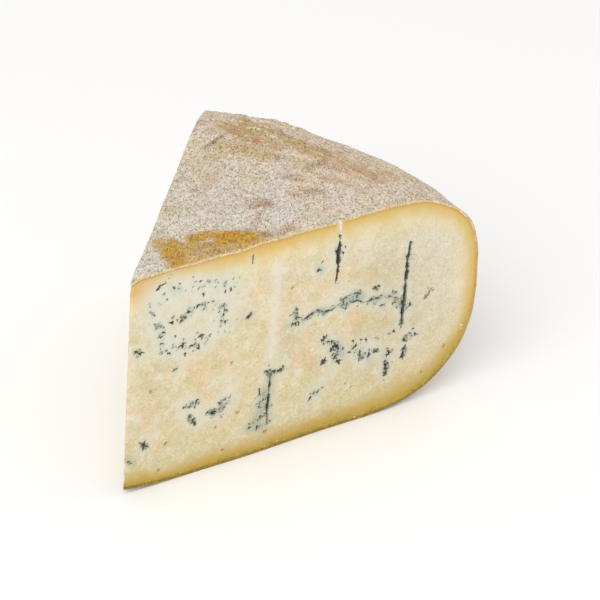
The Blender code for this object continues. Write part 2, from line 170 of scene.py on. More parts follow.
# Specks of mould on the near cut, as (along, above, across), in mm
SPECKS = (
    (13, 93, 1.7), (16, 95, 0.7), (18, 93.5, 0.6), (20, 91, 1.1), (22, 90, 0.8), (14, 85, 0.8), (9, 87, 0.7),
    (17, 86.5, 1.0), (20, 87.5, 0.7), (11.5, 81, 1.0), (28, 87, 0.6), (35, 90, 0.7), (36, 89, 0.5),
    (38, 88.5, 0.7), (40, 87.5, 0.8), (43, 86.5, 0.8), (46, 82.5, 1.5), (38, 79.5, 0.9), (34.5, 78.5, 0.8),
    (27, 78, 1.6), (25, 76, 1.3), (24, 75, 1.4), (26, 75.5, 0.9), (20, 77.5, 1.0), (43, 76, 1.2),
    (43.5, 74, 1.0), (43, 72, 1.2), (42, 69.5, 0.9), (45, 69, 0.8), (15, 75, 0.9), (14, 71, 0.9),
    (16, 72, 1.2), (15, 67, 1.2), (14.5, 62.5, 0.8), (17.5, 63, 1.0), (23, 63, 0.9), (25, 63.5, 1.5),
    (26, 61.5, 1.0), (30, 62, 1.2), (32, 61.5, 1.0), (33, 65.5, 1.5), (33.5, 64, 0.9), (35.5, 63.5, 0.8),
    (41, 64.5, 0.7), (44, 64, 0.8), (3.5, 66.5, 1.3), (5, 65.5, 1.1), (54.5, 67.5, 1.6), (56, 69, 1.0),
    (21, 52.5, 1.0), (23, 54, 0.8), (77.5, 64, 1.2), (78, 62, 1.0), (78, 60, 1.4), (76, 57.5, 1.2),
    (79, 57, 1.4), (118.5, 53.5, 0.9), (126, 54.5, 0.7), (127, 54, 0.6), (128.5, 54, 0.8), (127, 50, 1.0),
    (115, 62.7, 1.7), (117, 63, 1.3), (116.5, 61.5, 0.9), (93, 46.5, 1.4), (91, 45, 1.4), (92, 43, 1.1),
    (94, 43.5, 1.5), (97.5, 41.5, 1.5), (97, 40, 2.3), (96, 38.5, 1.5), (97, 36.5, 1.4), (98, 35, 1.6),
    (92, 35, 1.3), (93.5, 34.5, 1.0), (100, 32, 2.2), (101.5, 38, 1.1), (106.5, 40, 1.2), (105, 35, 1.4),
    (107, 36, 1.1), (108.5, 35, 0.9), (110.5, 31.5, 1.1), (112, 30, 1.2), (113, 32, 1.0), (115, 33, 1.1),
    (117.5, 32.5, 1.0), (119, 32, 1.2), (126.5, 38.5, 1.5), (124, 31, 1.0), (124.5, 29.5, 1.2),
    (124, 27.5, 1.3), (126.5, 29.5, 0.9), (123.5, 25, 1.1), (124.5, 23.5, 1.2), (124, 21, 1.3),
    (123, 19.5, 1.0), (124, 18, 1.2), (132, 24.5, 1.7), (132.5, 29, 1.6), (132, 33.5, 1.2), (133, 34.5, 1.1),
    (135, 35, 1.0), (136, 37, 1.1), (136.5, 39, 0.8), (137.5, 34, 1.3), (135, 57.5, 0.8), (134, 49, 0.8),
    (87.5, 18.5, 0.9), (89, 20.5, 1.1), (91, 21, 0.9), (93, 21.5, 1.0), (7, 23, 1.0), (8.5, 21.5, 1.6),
    (9, 20.5, 1.7), (10.5, 20, 1.1), (2, 15.5, 1.2), (3, 14.5, 1.0), (27, 33, 0.8), (28, 34, 0.9),
    (31, 34, 0.9), (33, 35, 1.1), (34, 33.5, 0.8), (29.5, 27.5, 1.2), (31.5, 25, 1.1), (32, 24, 1.8),
    (38, 27.5, 1.0), (40, 27, 1.6), (41, 28, 1.0), (41, 26, 1.1), (43, 30.5, 1.0), (45, 31, 1.1),
    (46, 31.5, 0.9), (48, 31.5, 1.1), (43.5, 27, 0.9), (45, 26, 0.8), (44, 24, 0.8), (66, 41, 0.9),
    (66.5, 38.5, 1.3), (68, 37.5, 1.0), (71, 37, 1.6), (72, 36.5, 1.2), (73, 38, 1.2), (62, 30.5, 1.1),
    (60.5, 27, 0.8), (58, 15.5, 0.9), (60, 15.5, 0.9), (62, 13, 1.0), (96.5, 88, 1.4), (94.5, 87.5, 0.8),
    (99, 87, 1.0), (104, 89, 0.5), (88.5, 83, 1.1), (87, 79.5, 1.6), (61, 24, 0.8), (64, 25, 1.0),
    (68.5, 21, 0.9), (64.5, 17, 1.1), (68, 13.5, 1.0), (63, 21.5, 0.8),
)

# Sprays: small specks strewn round each vein and slit. Sizes and reaches are in mm, depths are shares
# of a speck's size, and the number for each pit is given for the near cut and the far one.
SPRAY_SEED = 17
SPRAY_PER_PIT = (2, 3)
SPRAY_SIZES = (0.35, 0.8)
SPRAY_SPREAD = 1.8
LARGEST_SPRAY = 1.2
SLIT_SPRAY_SIZES = (0.5, 1.1)
SPECK_DEPTH = 0.4
SPRAY_DEPTH = 0.3

# A ragged speck's outline has lobes: (how many, how tall, how its phase turns them)
LOBES = ((2, 0.35, 1.0), (3, 0.25, 1.7), (5, 0.25, 2.3))
RAGGEDNESS = 0.55

# How far round a speck mould is looked for, flushes the paste and bleaches it, and how far a slit's ends
# taper, in mm
SPECK_REACH = 6
FLUSH_REACH = 1.7
HALO_REACH = 3.4
SLIT_TAPER = 9

# Noise that makes the mould ragged, with its sizes in mm. The two cuts read it some way apart.
WOBBLE_SIZE = 0.9
PATCH_SIZE = 2.6
CLOUD_SIZE = 7.0
CUTS_APART = 40.0

# How broad the gold is above the base at the tip, at the heel and as the paste's material has it, in mm
TIP_GOLD = 11
HEEL_GOLD = 15
BASE_GOLD = 13

# A slit: a needle's channel or a crack, laid open by the cut. Points, width and depth are in mm. Dark is
# how much mould lines it, and patchy how broken that lining is. A dry track has no mould.
Slit = namedtuple("Slit", "cut points width depth dark patchy")
SLITS = [Slit(cut, *row) for cut, rows in (
    (NEAR_CUT, (
        (((96.3, 93), (95.8, 86), (96.2, 79), (95.6, 71)), 1.8, 2.6, 1.0, 0.0),
        (((95.2, 103), (95.6, 97), (95.9, 92.4)), 1.9, 0.9, 0.0, 0.0),
        (((131.2, 80), (130.4, 71), (130.7, 60), (130.1, 50), (129.9, 39.5)), 1.45, 2.2, 0.95, 0.35),
        (((128.8, 75), (130.4, 72)), 0.7, 1.0, 0.6, 0.3),
        (((66.9, 37.5), (66.8, 29), (66.2, 22), (66.6, 13)), 1.15, 2.0, 0.85, 0.35),
        (((55.8, 96), (55.5, 92)), 1.3, 1.2, 1.0, 0.1),
        (((80.5, 57.8), (84, 59.3), (87.5, 60.3), (91, 58.8), (95, 58.6), (98, 60.5)), 1.2, 1.3, 0.9, 0.75),
        (((98, 60.5), (101, 62.8), (105, 63.4), (109.5, 62)), 1.0, 0.9, 0.8, 0.85),
        (((98.5, 59.6), (103, 59), (107, 59.4), (110.5, 57.3)), 1.0, 0.9, 0.8, 0.85),
        (((110.5, 57.3), (117, 57.4), (122, 57), (127, 54.5)), 0.9, 0.7, 0.7, 0.95),
    )),
    (FAR_CUT, (
        (((52, 88), (51.4, 70), (51.8, 47)), 1.3, 2.5, 0.9, 0.2),
        (((118, 74), (118.8, 55), (119.3, 33)), 1.3, 2.5, 0.9, 0.4),
        (((85.6, 102), (85.8, 97), (86, 90)), 1.8, 0.9, 0.0, 0.0),
        (((58, 40), (66, 44), (77, 43), (87, 46.5), (97, 45), (108, 49)), 1.2, 1.3, 0.9, 0.75),
        (((76, 43), (80, 40.6), (86, 41.5), (89, 46)), 1.0, 0.9, 0.8, 0.85),
    )),
) for row in rows]

# A tint of the paste: a soft patch round a path, with its half width and the path's points in mm
Tint = namedtuple("Tint", "cut kind width strength points")
TINTS = [Tint(cut, kind, *row) for cut, kinds in (
    (NEAR_CUT, {
        "white": (
            (7, 0.75, ((12, 90), (30, 90), (44, 84))), (7, 0.6, ((13, 76), (22, 64), (36, 62), (45, 74))),
            (7, 0.5, ((24, 82), (36, 80))), (5, 0.5, ((26, 75), (30, 77))),
            (5, 0.4, ((29, 33), (31, 25), (45, 28))), (4, 0.7, ((112, 29), (118, 31))),
            (4, 0.4, ((93, 25), (97, 30))),
        ),
        "blue": (
            (2.0, 0.95, ((101, 61), (106, 61.6), (109, 60))),
            (2.0, 0.5, ((112, 57), (120, 57.5), (126, 56))), (1.6, 0.45, ((86, 60.5), (97, 59.5))),
            (2.4, 0.9, ((99, 40), (100.5, 36))), (2.4, 0.55, ((113, 31), (116, 28))),
            (2.0, 0.3, ((19, 91), (21, 89.5))), (2.2, 0.45, ((123, 28), (123, 22))),
            (1.7, 0.6, ((86.5, 80.5), (88, 79))),
        ),
        "green": (
            (3.2, 0.85, ((65, 29), (63.5, 21), (59, 14), (64, 13))), (2.4, 0.6, ((66.6, 35), (66.4, 13))),
            (6, 0.16, ((70, 52), (78, 46))), (6, 0.1, ((108, 47), (120, 44))),
            (2.2, 0.6, ((1, 17), (4, 14.5))), (1.6, 0.35, ((83, 13.5), (87, 12.5))),
            (2.2, 0.4, ((72, 57), (77, 58))),
        ),
        "ivory": (
            (22, 0.85, ((140, 80), (150, 62), (146, 40))), (14, 0.35, ((85, 85), (118, 82))),
        ),
        "dull": (
            (12, 0.5, ((119, 70), (130, 60), (134, 40), (112, 28))),
        ),
        "warm": (
            (12, 0.35, ((20, 45), (50, 50), (60, 60))), (9, 0.35, ((75, 75), (90, 68), (118, 70))),
            (9, 0.3, ((78, 30), (90, 26))), (6, 0.35, ((86, 53), (118, 48))),
        ),
        "gold": (
            (6, 0.75, ((0, 97), (5, 95))), (4, 0.4, ((22, 101), (60, 100))),
        ),
        "streak": (
            (2.5, 0.95, ((67.3, 88), (66.9, 46))),
        ),
    }),
    (FAR_CUT, {
        "white": (
            (9, 0.6, ((18, 72), (30, 70), (38, 70))), (8, 0.5, ((74, 76), (90, 74))),
        ),
        "blue": (
            (2.6, 0.8, ((84, 80), (88, 76))), (2.4, 0.6, ((70, 44), (80, 44))),
        ),
        "green": (
            (2.6, 0.5, ((118, 50), (119, 33))), (2.4, 0.5, ((52, 60), (51, 46))),
        ),
        "ivory": (
            (22, 0.8, ((140, 76), (148, 50), (138, 30))),
        ),
        "dull": (
            (12, 0.5, ((64, 32), (96, 34), (110, 44))),
        ),
        "warm": (
            (12, 0.35, ((30, 45), (60, 55), (90, 58))),
        ),
    }),
) for kind, rows in kinds.items() for row in rows]
TINT_KINDS = ("white", "blue", "green", "ivory", "dull", "warm", "gold", "streak")
PASTE_TINTS = ("mould", "flush", "halo", "ochre_pit", "track", *TINT_KINDS)

# Pits with no mould on each cut, as (along, above, across), in mm
BARE_PITS = {
    NEAR_CUT: (
        (11, 46, 1.6), (48, 48, 1.6), (52, 23, 1.4), (19, 18.5, 2.0), (42, 19, 1.4), (66, 9, 2.2),
        (46, 6.5, 2.0), (16, 6.5, 1.8), (142.4, 54.6, 1.2), (143.7, 53.7, 1.5), (145, 53, 1.2),
        (141, 50.4, 1.5), (142, 50, 1.0), (153, 23, 1.8), (142.5, 13.5, 1.8), (107, 17.5, 1.3),
        (104, 20, 1.2), (75, 75, 1.6),
    ),
    FAR_CUT: (
        (62, 72, 1.8), (108, 28, 1.6), (70, 30, 1.4), (140, 70, 2.2), (34, 14, 1.8), (20, 45, 1.4),
        (152, 36, 1.8),
    ),
}

# A stain of the top rind: a path of points (along the near cut, away from it) and its half width, in mm
Stain = namedtuple("Stain", "kind width strength points")
STAINS = [Stain(kind, *row) for kind, rows in {
    "ochre": (
        (4.5, 0.9, ((22, 0), (24, 7), (25, 16))), (3.4, 0.78, ((29, 18), (31, 11))),
        (3.4, 0.85, ((37, 15), (42, 15.5), (48, 12))), (4.6, 1.1, ((48, 10), (53, 8), (57, 7))),
        (3.8, 0.68, ((26, 2), (40, 4), (58, 2))), (4.4, 0.74, ((30, 8), (37, 9), (45, 8))),
        (1.8, 0.6, ((63, 5), (65, 3))),
    ),
    "brown": (
        (3.4, 0.15, ((33, 7), (38, 7), (43, 5))), (2.0, 0.6, ((63, 5), (66, 4))),
        (2.0, 0.6, ((70, 3), (76, 5))), (3.2, 0.85, ((72, 26), (76, 25))), (1.3, 0.6, ((70, 19), (62, 11))),
        (2.0, 0.6, ((89, 26), (91, 24))), (2.4, 0.6, ((96, 24), (100, 23))),
        (2.6, 0.7, ((96, 37), (99, 35))), (2.6, 0.65, ((108, 41), (114, 41), (116, 36))),
        (2.0, 0.25, ((109, 30), (111, 28))), (2.4, 0.6, ((125, 20), (128, 19))),
        (0.9, 1.2, ((78, 73), (82, 75), (89, 78))), (1.5, 0.8, ((56, 47), (57, 47))),
        (1.8, 0.6, ((86, 91), (88, 92))), (1.2, 0.7, ((100, 52), (101, 55))),
        (1.6, 0.5, ((111, 72), (115, 66))),
    ),
    "tan": (
        (5.0, 1.2, ((94, 84), (97, 77), (98, 70))), (3.8, 1.1, ((105, 84), (108, 77))),
        (3.6, 0.8, ((100, 68), (108, 60), (116, 55))), (5.0, 1.25, ((117, 51), (121, 46))),
        (6.0, 0.85, ((121, 43), (125, 35), (127, 26))), (2.0, 0.4, ((116, 27), (116, 12))),
        (2.6, 0.5, ((109, 30), (113, 27))), (4.0, 0.35, ((66, 50), (70, 53))),
    ),
    "olive": (
        (3.0, 0.5, ((38, 37), (41, 38))), (2.4, 0.35, ((25, 23), (28, 25))),
        (5.0, 1.0, ((86, 70), (92, 65), (99, 57))), (4.6, 1.0, ((102, 80), (108, 71), (113, 63), (116, 56))),
        (4.5, 0.4, ((70, 62), (80, 67))), (2.2, 0.6, ((83, 42), (86, 41))),
        (2.4, 0.5, ((104, 51), (107, 46))), (2.4, 0.45, ((133, 24), (135, 20))),
        (2.4, 0.6, ((73, 4), (76, 3))),
    ),
    "bloom": (
        (4.5, 0.8, ((86, 88), (90, 82))), (7.0, 0.95, ((86, 34), (82, 20), (76, 12))),
        (4.0, 0.7, ((72, 58), (76, 50))), (6.0, 0.6, ((52, 26), (60, 26), (68, 34))),
        (4.0, 0.7, ((90, 46), (97, 40))), (3.6, 0.5, ((100, 48), (108, 56))),
        (0.8, 1.5, ((90.5, 74), (95, 68), (101, 58.5))), (6.0, 0.5, ((2, 1), (14, 6))),
        (5.0, 0.5, ((104, 12), (118, 14))), (4.5, 0.8, ((128, 6), (137, 10))),
    ),
}.items() for row in rows]
# From what noise value on, and how strongly, each kind shows on the heel and the base
HIDDEN_STAINS = {
    "ochre": (0.55, 0.6), "brown": (0.2, 0.6), "tan": (0.05, 0.7), "olive": (0.0, 0.6), "bloom": (-0.05, 0.9),
}
STAIN_KINDS = tuple(HIDDEN_STAINS)
# Noise that makes the stains ragged, and that strews them over the heel and the base
STAIN_CLOUDS = 5 * MM
STAIN_GRIT = 2 * MM
HIDDEN_PATCHES = 26 * MM

# Dimples in the top rind where needles went in, as (along the near cut, away from it, across), in mm
NEEDLE_MARKS = ((73, 25, 4.2), (98, 35, 3.6), (84, 75, 3.0), (127, 21, 3.4), (44, 39, 2.6))
MARK_DEPTH = 0.9 * MM

# Chips broken off the tip edge, as (above the base, across), in mm, and their shape as shares of that
TIP_CHIPS = ((8, 3.2), (14.5, 1.8), (97, 3.0))
CHIP_WIDTH = 0.6
CHIP_DEPTH = 0.42

# Crumbs of paste that stick to each cut by its edges, as (along, above the base, across), in mm
CRUMBS = {
    NEAR_CUT: (
        (72, 2.6, 1.3), (75.5, 2.2, 0.9), (110, 1.6, 1.2), (66, 1.8, 0.9), (161.3, 31, 1.8),
        (161, 29.4, 1.3), (36, 99.6, 1.2), (49, 99.7, 1.0), (81, 99.4, 1.3), (97.6, 99.2, 1.5),
        (133, 98.6, 1.4), (118, 99.5, 1.2),
    ),
    FAR_CUT: (
        (30, 99.6, 1.3), (64, 99.6, 1.5), (102, 99.4, 1.3), (90, 1.8, 1.2), (130, 2.6, 1.1), (40, 1.6, 1.0),
    ),
}
# Torn flakes of rind on each cut, with their sizes in mm. They lie between two points of an outline of
# so many, from the tip along the top, and a little in from it and below it, in mm.
NIB_SEED = 21
NIBS_PER_CUT = 26
NIB_SIZES = (0.5, 0.95)
NIB_OUTLINE = 400
NIB_RANGE = (8, 190)
NIB_INSET = (0.3, 0.5)
# How far a crumb or flake sinks into the cut, as a share of its size
CRUMB_SINK = 0.05

# How finely a cut is divided: cells across and up it, and how often a cell by a vein is halved
CUT_COLUMNS = 150
CUT_ROWS = 78
HALVINGS = 2
CELL = 2**HALVINGS
# Faces round the skin under the rind, points of the outline that a cut follows, points along a side
# when its length is measured, and how many places are looked at together
SKIN_TURNS = 16
OUTLINE_POINTS = 900
SIDE_POINTS = 4000
PLACES_AT_ONCE = 4000
# How far in from the outline the rind's relief moves a cut, and how far the tip edge stays undented
RELIEF_REACH = 9 * MM
TIP_CALM = 1.5 * MM

# The rind's grain is drawn out a little along one way, as on a cloth-dried rind
GRAIN_TURN = math.radians(-50)
GRAIN_SQUEEZE = (1, 1.8, 1)

# How finely the rind is divided: the length of a face, twice that below a height, the least and most
# faces round a ring, and how many of those one face of the hidden inside spans
RIND_STEP = 0.75 * MM
COARSE_BELOW = 6 * MM
FEWEST_ROUND = 6
MOST_ROUND = 192
INSIDE_SPAN = 16

# Inside, middle and outside of the rind: how deep each lies as a share of its thickness, and on a cut
# edge how far it stands out of the cut, in mm, how bare it is, and how raggedly the knife left it. The
# rind starts just above the floor.
RIND_LAYERS = ("in", "mid", "out")
LAYER_DEPTHS = (1.25, 0.5, 0.0)
EDGE_PROUD = (0.06, 0.16, 0.05)
EDGE_BARE = (1.0, 1.0, 0.3)
EDGE_RAGGED = 0.08
RAG_SIZE = 1.3 * MM
EDGE_WANDER = 0.3 * MM
FLOOR_GAP = 0.02 * MM

# How much of the fine relief the cut edges keep, and how much of the crust wet rind loses
EDGE_RELIEF = 0.35
WET_LOSS = 0.85

# The camera: fitted to the wedge's outline in the photograph
CAMERA_AZIMUTH = math.radians(-35.17)
CAMERA_ELEVATION = math.radians(32.44)
CAMERA_ROLL = math.radians(3.87)
CAMERA_DISTANCE = 1.363
CAMERA_LENS_MM = 197.7
CAMERA_AIM = TIP + Vector((108.2, 41.7, 35.6)) * MM

# The room: two soft square lamps as (name, direction, distance, size, power), the light from all round,
# and the floor
LAMPS = (("key", (-0.8, -0.5, 1.0), 1.6, 1.2, 13), ("fill", (1.0, 0.3, 0.9), 1.8, 1.4, 3.5))
ROOM_LIGHT = 0.7
FLOOR_RADIUS = 4.0


def linear(hex_colour):
    """An sRGB hex value as linear red, green and blue."""
    parts = [int(hex_colour[i:i + 2], 16) / 255 for i in (1, 3, 5)]
    return tuple(p / 12.92 if p <= 0.04045 else ((p + 0.055) / 1.055) ** 2.4 for p in parts)


def smooth_step(share):
    """0 up to share 0, 1 from share 1, and smooth between."""
    share = np.clip(share, 0.0, 1.0)
    return share * share * (3 - 2 * share)


def bell(gap, reach):
    """1 in the middle of a soft spot, fading to 0 past its reach."""
    return np.exp(-((gap / reach) ** 2))


def in_band(value, middle, half_width):
    """1 in the inner half of a band, falling smoothly to 0 at its edges."""
    return 1 - smooth_step(2 * abs(value - middle) / half_width - 1)


def shoulder_share(radius, reach, squareness):
    """1 where the wheel is flat, falling to 0 at its widest point along a superellipse."""
    inward = np.clip((radius - (WHEEL_RADIUS - reach)) / reach, 0, 1)
    return (1 - inward**squareness) ** (1 / squareness)


def top_height(radius):
    """How high the top rind lies at a distance from the wheel's axis."""
    half = WHEEL_HEIGHT / 2
    drop = TIP_DROP * np.clip(1 - radius / TIP_DROP_REACH, 0, 1) ** 2
    return half + half * shoulder_share(radius, TOP_SHOULDER, TOP_SQUARENESS) - drop


def base_height(radius):
    """How high the lower rind lies at a distance from the wheel's axis."""
    half = WHEEL_HEIGHT / 2
    lift = DISH_HEIGHT * np.clip(1 - radius / DISH_REACH, 0, 1) ** 2
    return half - half * shoulder_share(radius, BASE_SHOULDER, BASE_SQUARENESS) + lift


# The wheel's top and base: height at a radius, how far in the shoulder starts, and how square it is
SIDES = ((top_height, TOP_SHOULDER, TOP_SQUARENESS), (base_height, BASE_SHOULDER, BASE_SQUARENESS))


def even_radii(height_at, reach, squareness, count):
    """Radii from the axis to the widest point, evenly spaced along a side, and the side's length."""
    flat_end = WHEEL_RADIUS - reach
    turn = np.linspace(0, math.pi / 2, SIDE_POINTS)
    dense = np.concatenate([[0], flat_end + reach * np.sin(turn) ** (2 / squareness)])
    heights = height_at(dense)
    length = np.concatenate([[0], np.cumsum(np.hypot(np.diff(dense), np.diff(heights)))])
    return np.interp(np.linspace(0, length[-1], count + 1), length, dense), length[-1]


def noise_at(points, size, place=(0, 0, 0)):
    """Noise between about -1 and 1 at each point, with features of a size in the points' unit."""
    place = Vector(place)
    return np.array([noise.noise(Vector(p) / size + place) for p in points])


def rind_relief(points, radii, angles, heights):
    """How far the rind stands out at each point, in metres, as on the solid."""
    out = SWELL_HEIGHT * noise_at(points, SWELL_SIZE) + LUMP_HEIGHT * noise_at(points, LUMP_SIZE, LUMP_PLACE)
    rough = in_band(angles, CRAG_ANGLE, CRAG_HALF_ANGLE) * in_band(radii, CRAG_RADIUS, CRAG_HALF_WIDTH)
    rough = rough * (heights > WHEEL_HEIGHT / 2)
    out += CRAG_HEIGHT * rough * abs(noise_at(points, CRAG_SIZE, CRAG_PLACE))
    low = heights < WHEEL_HEIGHT / 2
    out = out * np.where(low, smooth_step((heights - BASE_FLAT) / BASE_FADE), 1)
    return out * smooth_step(radii / AXIS_CALM)


def facing(cut):
    """The outward direction of a cut."""
    angle = CUT_ANGLES[cut]
    return np.array((math.sin(angle), -math.cos(angle), 0)) * (1 if cut == NEAR_CUT else -1)


def knife_wave(points, radii):
    """How far the knife left a cut from its plane, in metres."""
    calm = smooth_step(radii / KNIFE_CALM_TIP)
    return calm * KNIFE_WAVE_HEIGHT * noise_at(points, KNIFE_WAVE_SIZE, KNIFE_WAVE_PLACE)


def outline(count):
    """The wheel's outline from the tip's top round the heel to the tip's base.

    Gives radii, heights, and the outward direction as (away from the axis, up), evenly spaced.
    """
    lengths = [even_radii(*side, 2)[1] for side in SIDES]
    top_count = round(count * lengths[0] / sum(lengths))
    over, _ = even_radii(*SIDES[0], top_count)
    under, _ = even_radii(*SIDES[1], count - top_count)
    radii = np.concatenate([over, under[-2::-1]])
    heights = np.concatenate([top_height(over), base_height(under[-2::-1])])
    across, up = np.gradient(radii), np.gradient(heights)
    length = np.hypot(across, up)
    return radii, heights, -up / length, across / length


def round_axis(radii, angles, heights):
    """Points in the wheel's own frame, from radii, angles and heights."""
    return np.stack([radii * np.cos(angles), radii * np.sin(angles), heights], -1)


def path_distance(places, path):
    """How far each place lies from a path."""
    nearest = np.full(len(places), np.inf)
    for start, end in zip(path, path[1:]):
        start, along = np.array(start, float), np.array(end, float) - start
        share = np.clip((places - start) @ along / max(along @ along, 1e-9), 0, 1)
        nearest = np.minimum(nearest, np.linalg.norm(places - start - share[:, None] * along, axis=1))
    return nearest


def point_on_path(points, share):
    """The point at a share of a path's length."""
    lengths = [(Vector(b) - Vector(a)).length for a, b in zip(points, points[1:])]
    left = share * sum(lengths)
    for start, end, length in zip(points, points[1:], lengths):
        if left <= length:
            return Vector(start).lerp(Vector(end), left / length)
        left -= length
    return Vector(points[-1])


def strewn_place(draw, points, share, spread):
    """A place near the point at a share of a path, astray by about a spread."""
    place = point_on_path(points, share)
    return place + Vector((draw.gauss(0, spread), draw.gauss(0, spread)))


def draw_pits():
    """Every vein's pits, as the solid has them, in millimetres."""
    draw = random.Random(PIT_SEED)
    pits = []
    for vein in VEINS:
        for i in range(vein.pits):
            share = (i + draw.uniform(*PIT_STRETCH)) / vein.pits
            place = strewn_place(draw, vein.points, share, vein.spread)
            size = vein.size * draw.uniform(*PIT_SIZES)
            if any(
                other.cut == vein.cut
                and (place - other.place).length < (size + other.size) * PIT_REACH + PIT_SPACING
                for other in pits
            ):
                continue
            depth = size * draw.uniform(*PIT_DEPTHS)
            turn = draw.uniform(0, math.tau)
            length, width = draw.uniform(*PIT_LENGTHS), draw.uniform(*PIT_WIDTHS)
            pits.append(Pit(vein.cut, place, size, depth, turn, length, width))
    return pits


def quadtree(columns, rows, near):
    """Cells (column, row, size) of a grid, halved where near() says."""
    size = CELL
    cells = np.array([(c * size, r * size) for c in range(columns) for r in range(rows)])
    leaves = []
    while size > 1:
        split = near(cells + size / 2, size)
        leaves += [(c, r, size) for c, r in cells[~split].tolist()]
        size //= 2
        cells = np.concatenate([cells[split] + (c, r) for c in (0, size) for r in (0, size)])
    return leaves + [(c, r, 1) for c, r in cells.tolist()]


def cell_ring(i, j, size, corners):
    """A cell's outline, with the corners of smaller neighbours on its sides."""
    steps = range(size)
    ring = [(i + k, j) for k in steps] + [(i + size, j + k) for k in steps]
    ring += [(i + size - k, j + size) for k in steps] + [(i, j + size - k) for k in steps]
    return [point for point in ring if point in corners]


class CutGrid:
    """One cut of the paste as cells, finer by its pits and slits."""

    def __init__(self, cut, pits):
        self.cut = cut
        self.last = CUT_COLUMNS * CELL
        self.top = CUT_ROWS * CELL
        self.radii, _ = even_radii(*SIDES[0], self.last)
        self.sites = mould_sites(cut, pits)
        self.slits = [slit for slit in SLITS if slit.cut == cut]
        self.cells = quadtree(CUT_COLUMNS, CUT_ROWS, self.near)
        self.corners = {
            (i + di, j + dj) for i, j, size in self.cells for di in (0, size) for dj in (0, size)
        }
        self.corners |= {(i, j) for i in range(0, self.last + 1, 2) for j in (0, self.top)}

    def place(self, i, j):
        """A grid point as (along, above), in metres."""
        radius = np.interp(i, np.arange(self.last + 1), self.radii)
        low = base_height(radius)
        return np.stack([radius, low + (top_height(radius) - low) * j / self.top], -1)

    def near(self, centres, size):
        """Which cells lie by a pit or a slit."""
        places = self.place(centres[:, 0], centres[:, 1]) / MM
        margin = 0.75 * size * (WHEEL_RADIUS / MM) / self.last + 0.25
        found = np.zeros(len(centres), bool)
        for centre, across, *_ in self.sites:
            found |= np.linalg.norm(places - centre, axis=1) < 0.75 * across + margin
        for slit in self.slits:
            found |= path_distance(places, slit.points) < slit.width * 0.6 + margin
        for along, above, across in BARE_PITS[self.cut]:
            found |= np.linalg.norm(places - (along, above), axis=1) < across * 0.7 + margin
        return found


class MeshMaker:
    """Collects shared points by key, and faces that use them."""

    def __init__(self):
        self.numbers = {}
        self.faces = []

    def face(self, keys):
        """Adds a face round its points, each taken once."""
        ring = []
        for key in keys:
            number = self.numbers.setdefault(key, len(self.numbers))
            if number not in ring:
                ring.append(number)
        if len(ring) > 2:
            self.faces.append(ring)

    def mesh(self, name, places):
        """The closed mesh, with its faces turned outwards."""
        mesh = bpy.data.meshes.new(name)
        mesh.from_pydata([tuple(p) for p in places], [], self.faces)
        mesh.validate()
        bm = bmesh.new()
        bm.from_mesh(mesh)
        bmesh.ops.recalc_face_normals(bm, faces=bm.faces[:])
        if bm.calc_volume(signed=True) < 0:
            bmesh.ops.reverse_faces(bm, faces=bm.faces[:])
        bm.to_mesh(mesh)
        bm.free()
        mesh.shade_smooth()
        return mesh


def store(mesh, name, values):
    """Keeps one number, or one direction, for each point of a mesh."""
    values = np.asarray(values, np.float32)
    vector = values.ndim == 2
    attribute = mesh.attributes.new(name, "FLOAT_VECTOR" if vector else "FLOAT", "POINT")
    attribute.data.foreach_set("vector" if vector else "value", values.ravel())


def add_object(name, data):
    """A new object of the scene that shows a mesh, a light or a camera."""
    thing = bpy.data.objects.new(name, data)
    bpy.context.scene.collection.objects.link(thing)
    return thing


def add_piece(name, mesh, material):
    """A mesh in one material, as an object."""
    mesh.materials.clear()
    mesh.materials.append(material)
    return add_object(name, mesh)


def hand_over(piece, slot, *nodes):
    """Makes a finished piece part of the wedge."""
    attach(piece, BODY)
    if nodes:
        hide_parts(*nodes)


def cut_point(cut, i, j, grid):
    """The key of a cut's grid point. The tip edge is shared by both cuts, and the heel's columns meet."""
    if i == 0:
        return ("tip", 0, j)
    return (cut, i, 0 if i == grid.last else j)


def paste_topology(grids):
    """The paste's faces: both cuts, and a plainer skin that the rind hides."""
    maker = MeshMaker()
    tips = {point for grid in grids for point in grid.corners if point[0] == 0}
    for grid in grids:
        grid.corners |= tips
        for i, j, size in grid.cells:
            ring = cell_ring(i, j, size, grid.corners)
            maker.face([cut_point(grid.cut, *point, grid) for point in ring])
    for level in (0, 1):
        j = grids[0].top * level
        for turn in range(SKIN_TURNS):
            for start in range(0, grids[0].last, CELL):
                sides = []
                for at in (turn, turn + 1):
                    if at in (0, SKIN_TURNS):
                        grid = grids[NEAR_CUT if at == 0 else FAR_CUT]
                        steps = [i for i in range(start, start + CELL + 1) if (i, j) in grid.corners]
                        sides.append([cut_point(grid.cut, i, j, grid) for i in steps])
                    else:
                        grid = grids[0]
                        ends = (start, start + CELL)
                        sides.append([
                            ("tip", 0, j) if i == 0 else ("skin", i, at, level if i < grid.last else 0)
                            for i in ends
                        ])
                maker.face(sides[0] + sides[1][::-1])
    return maker


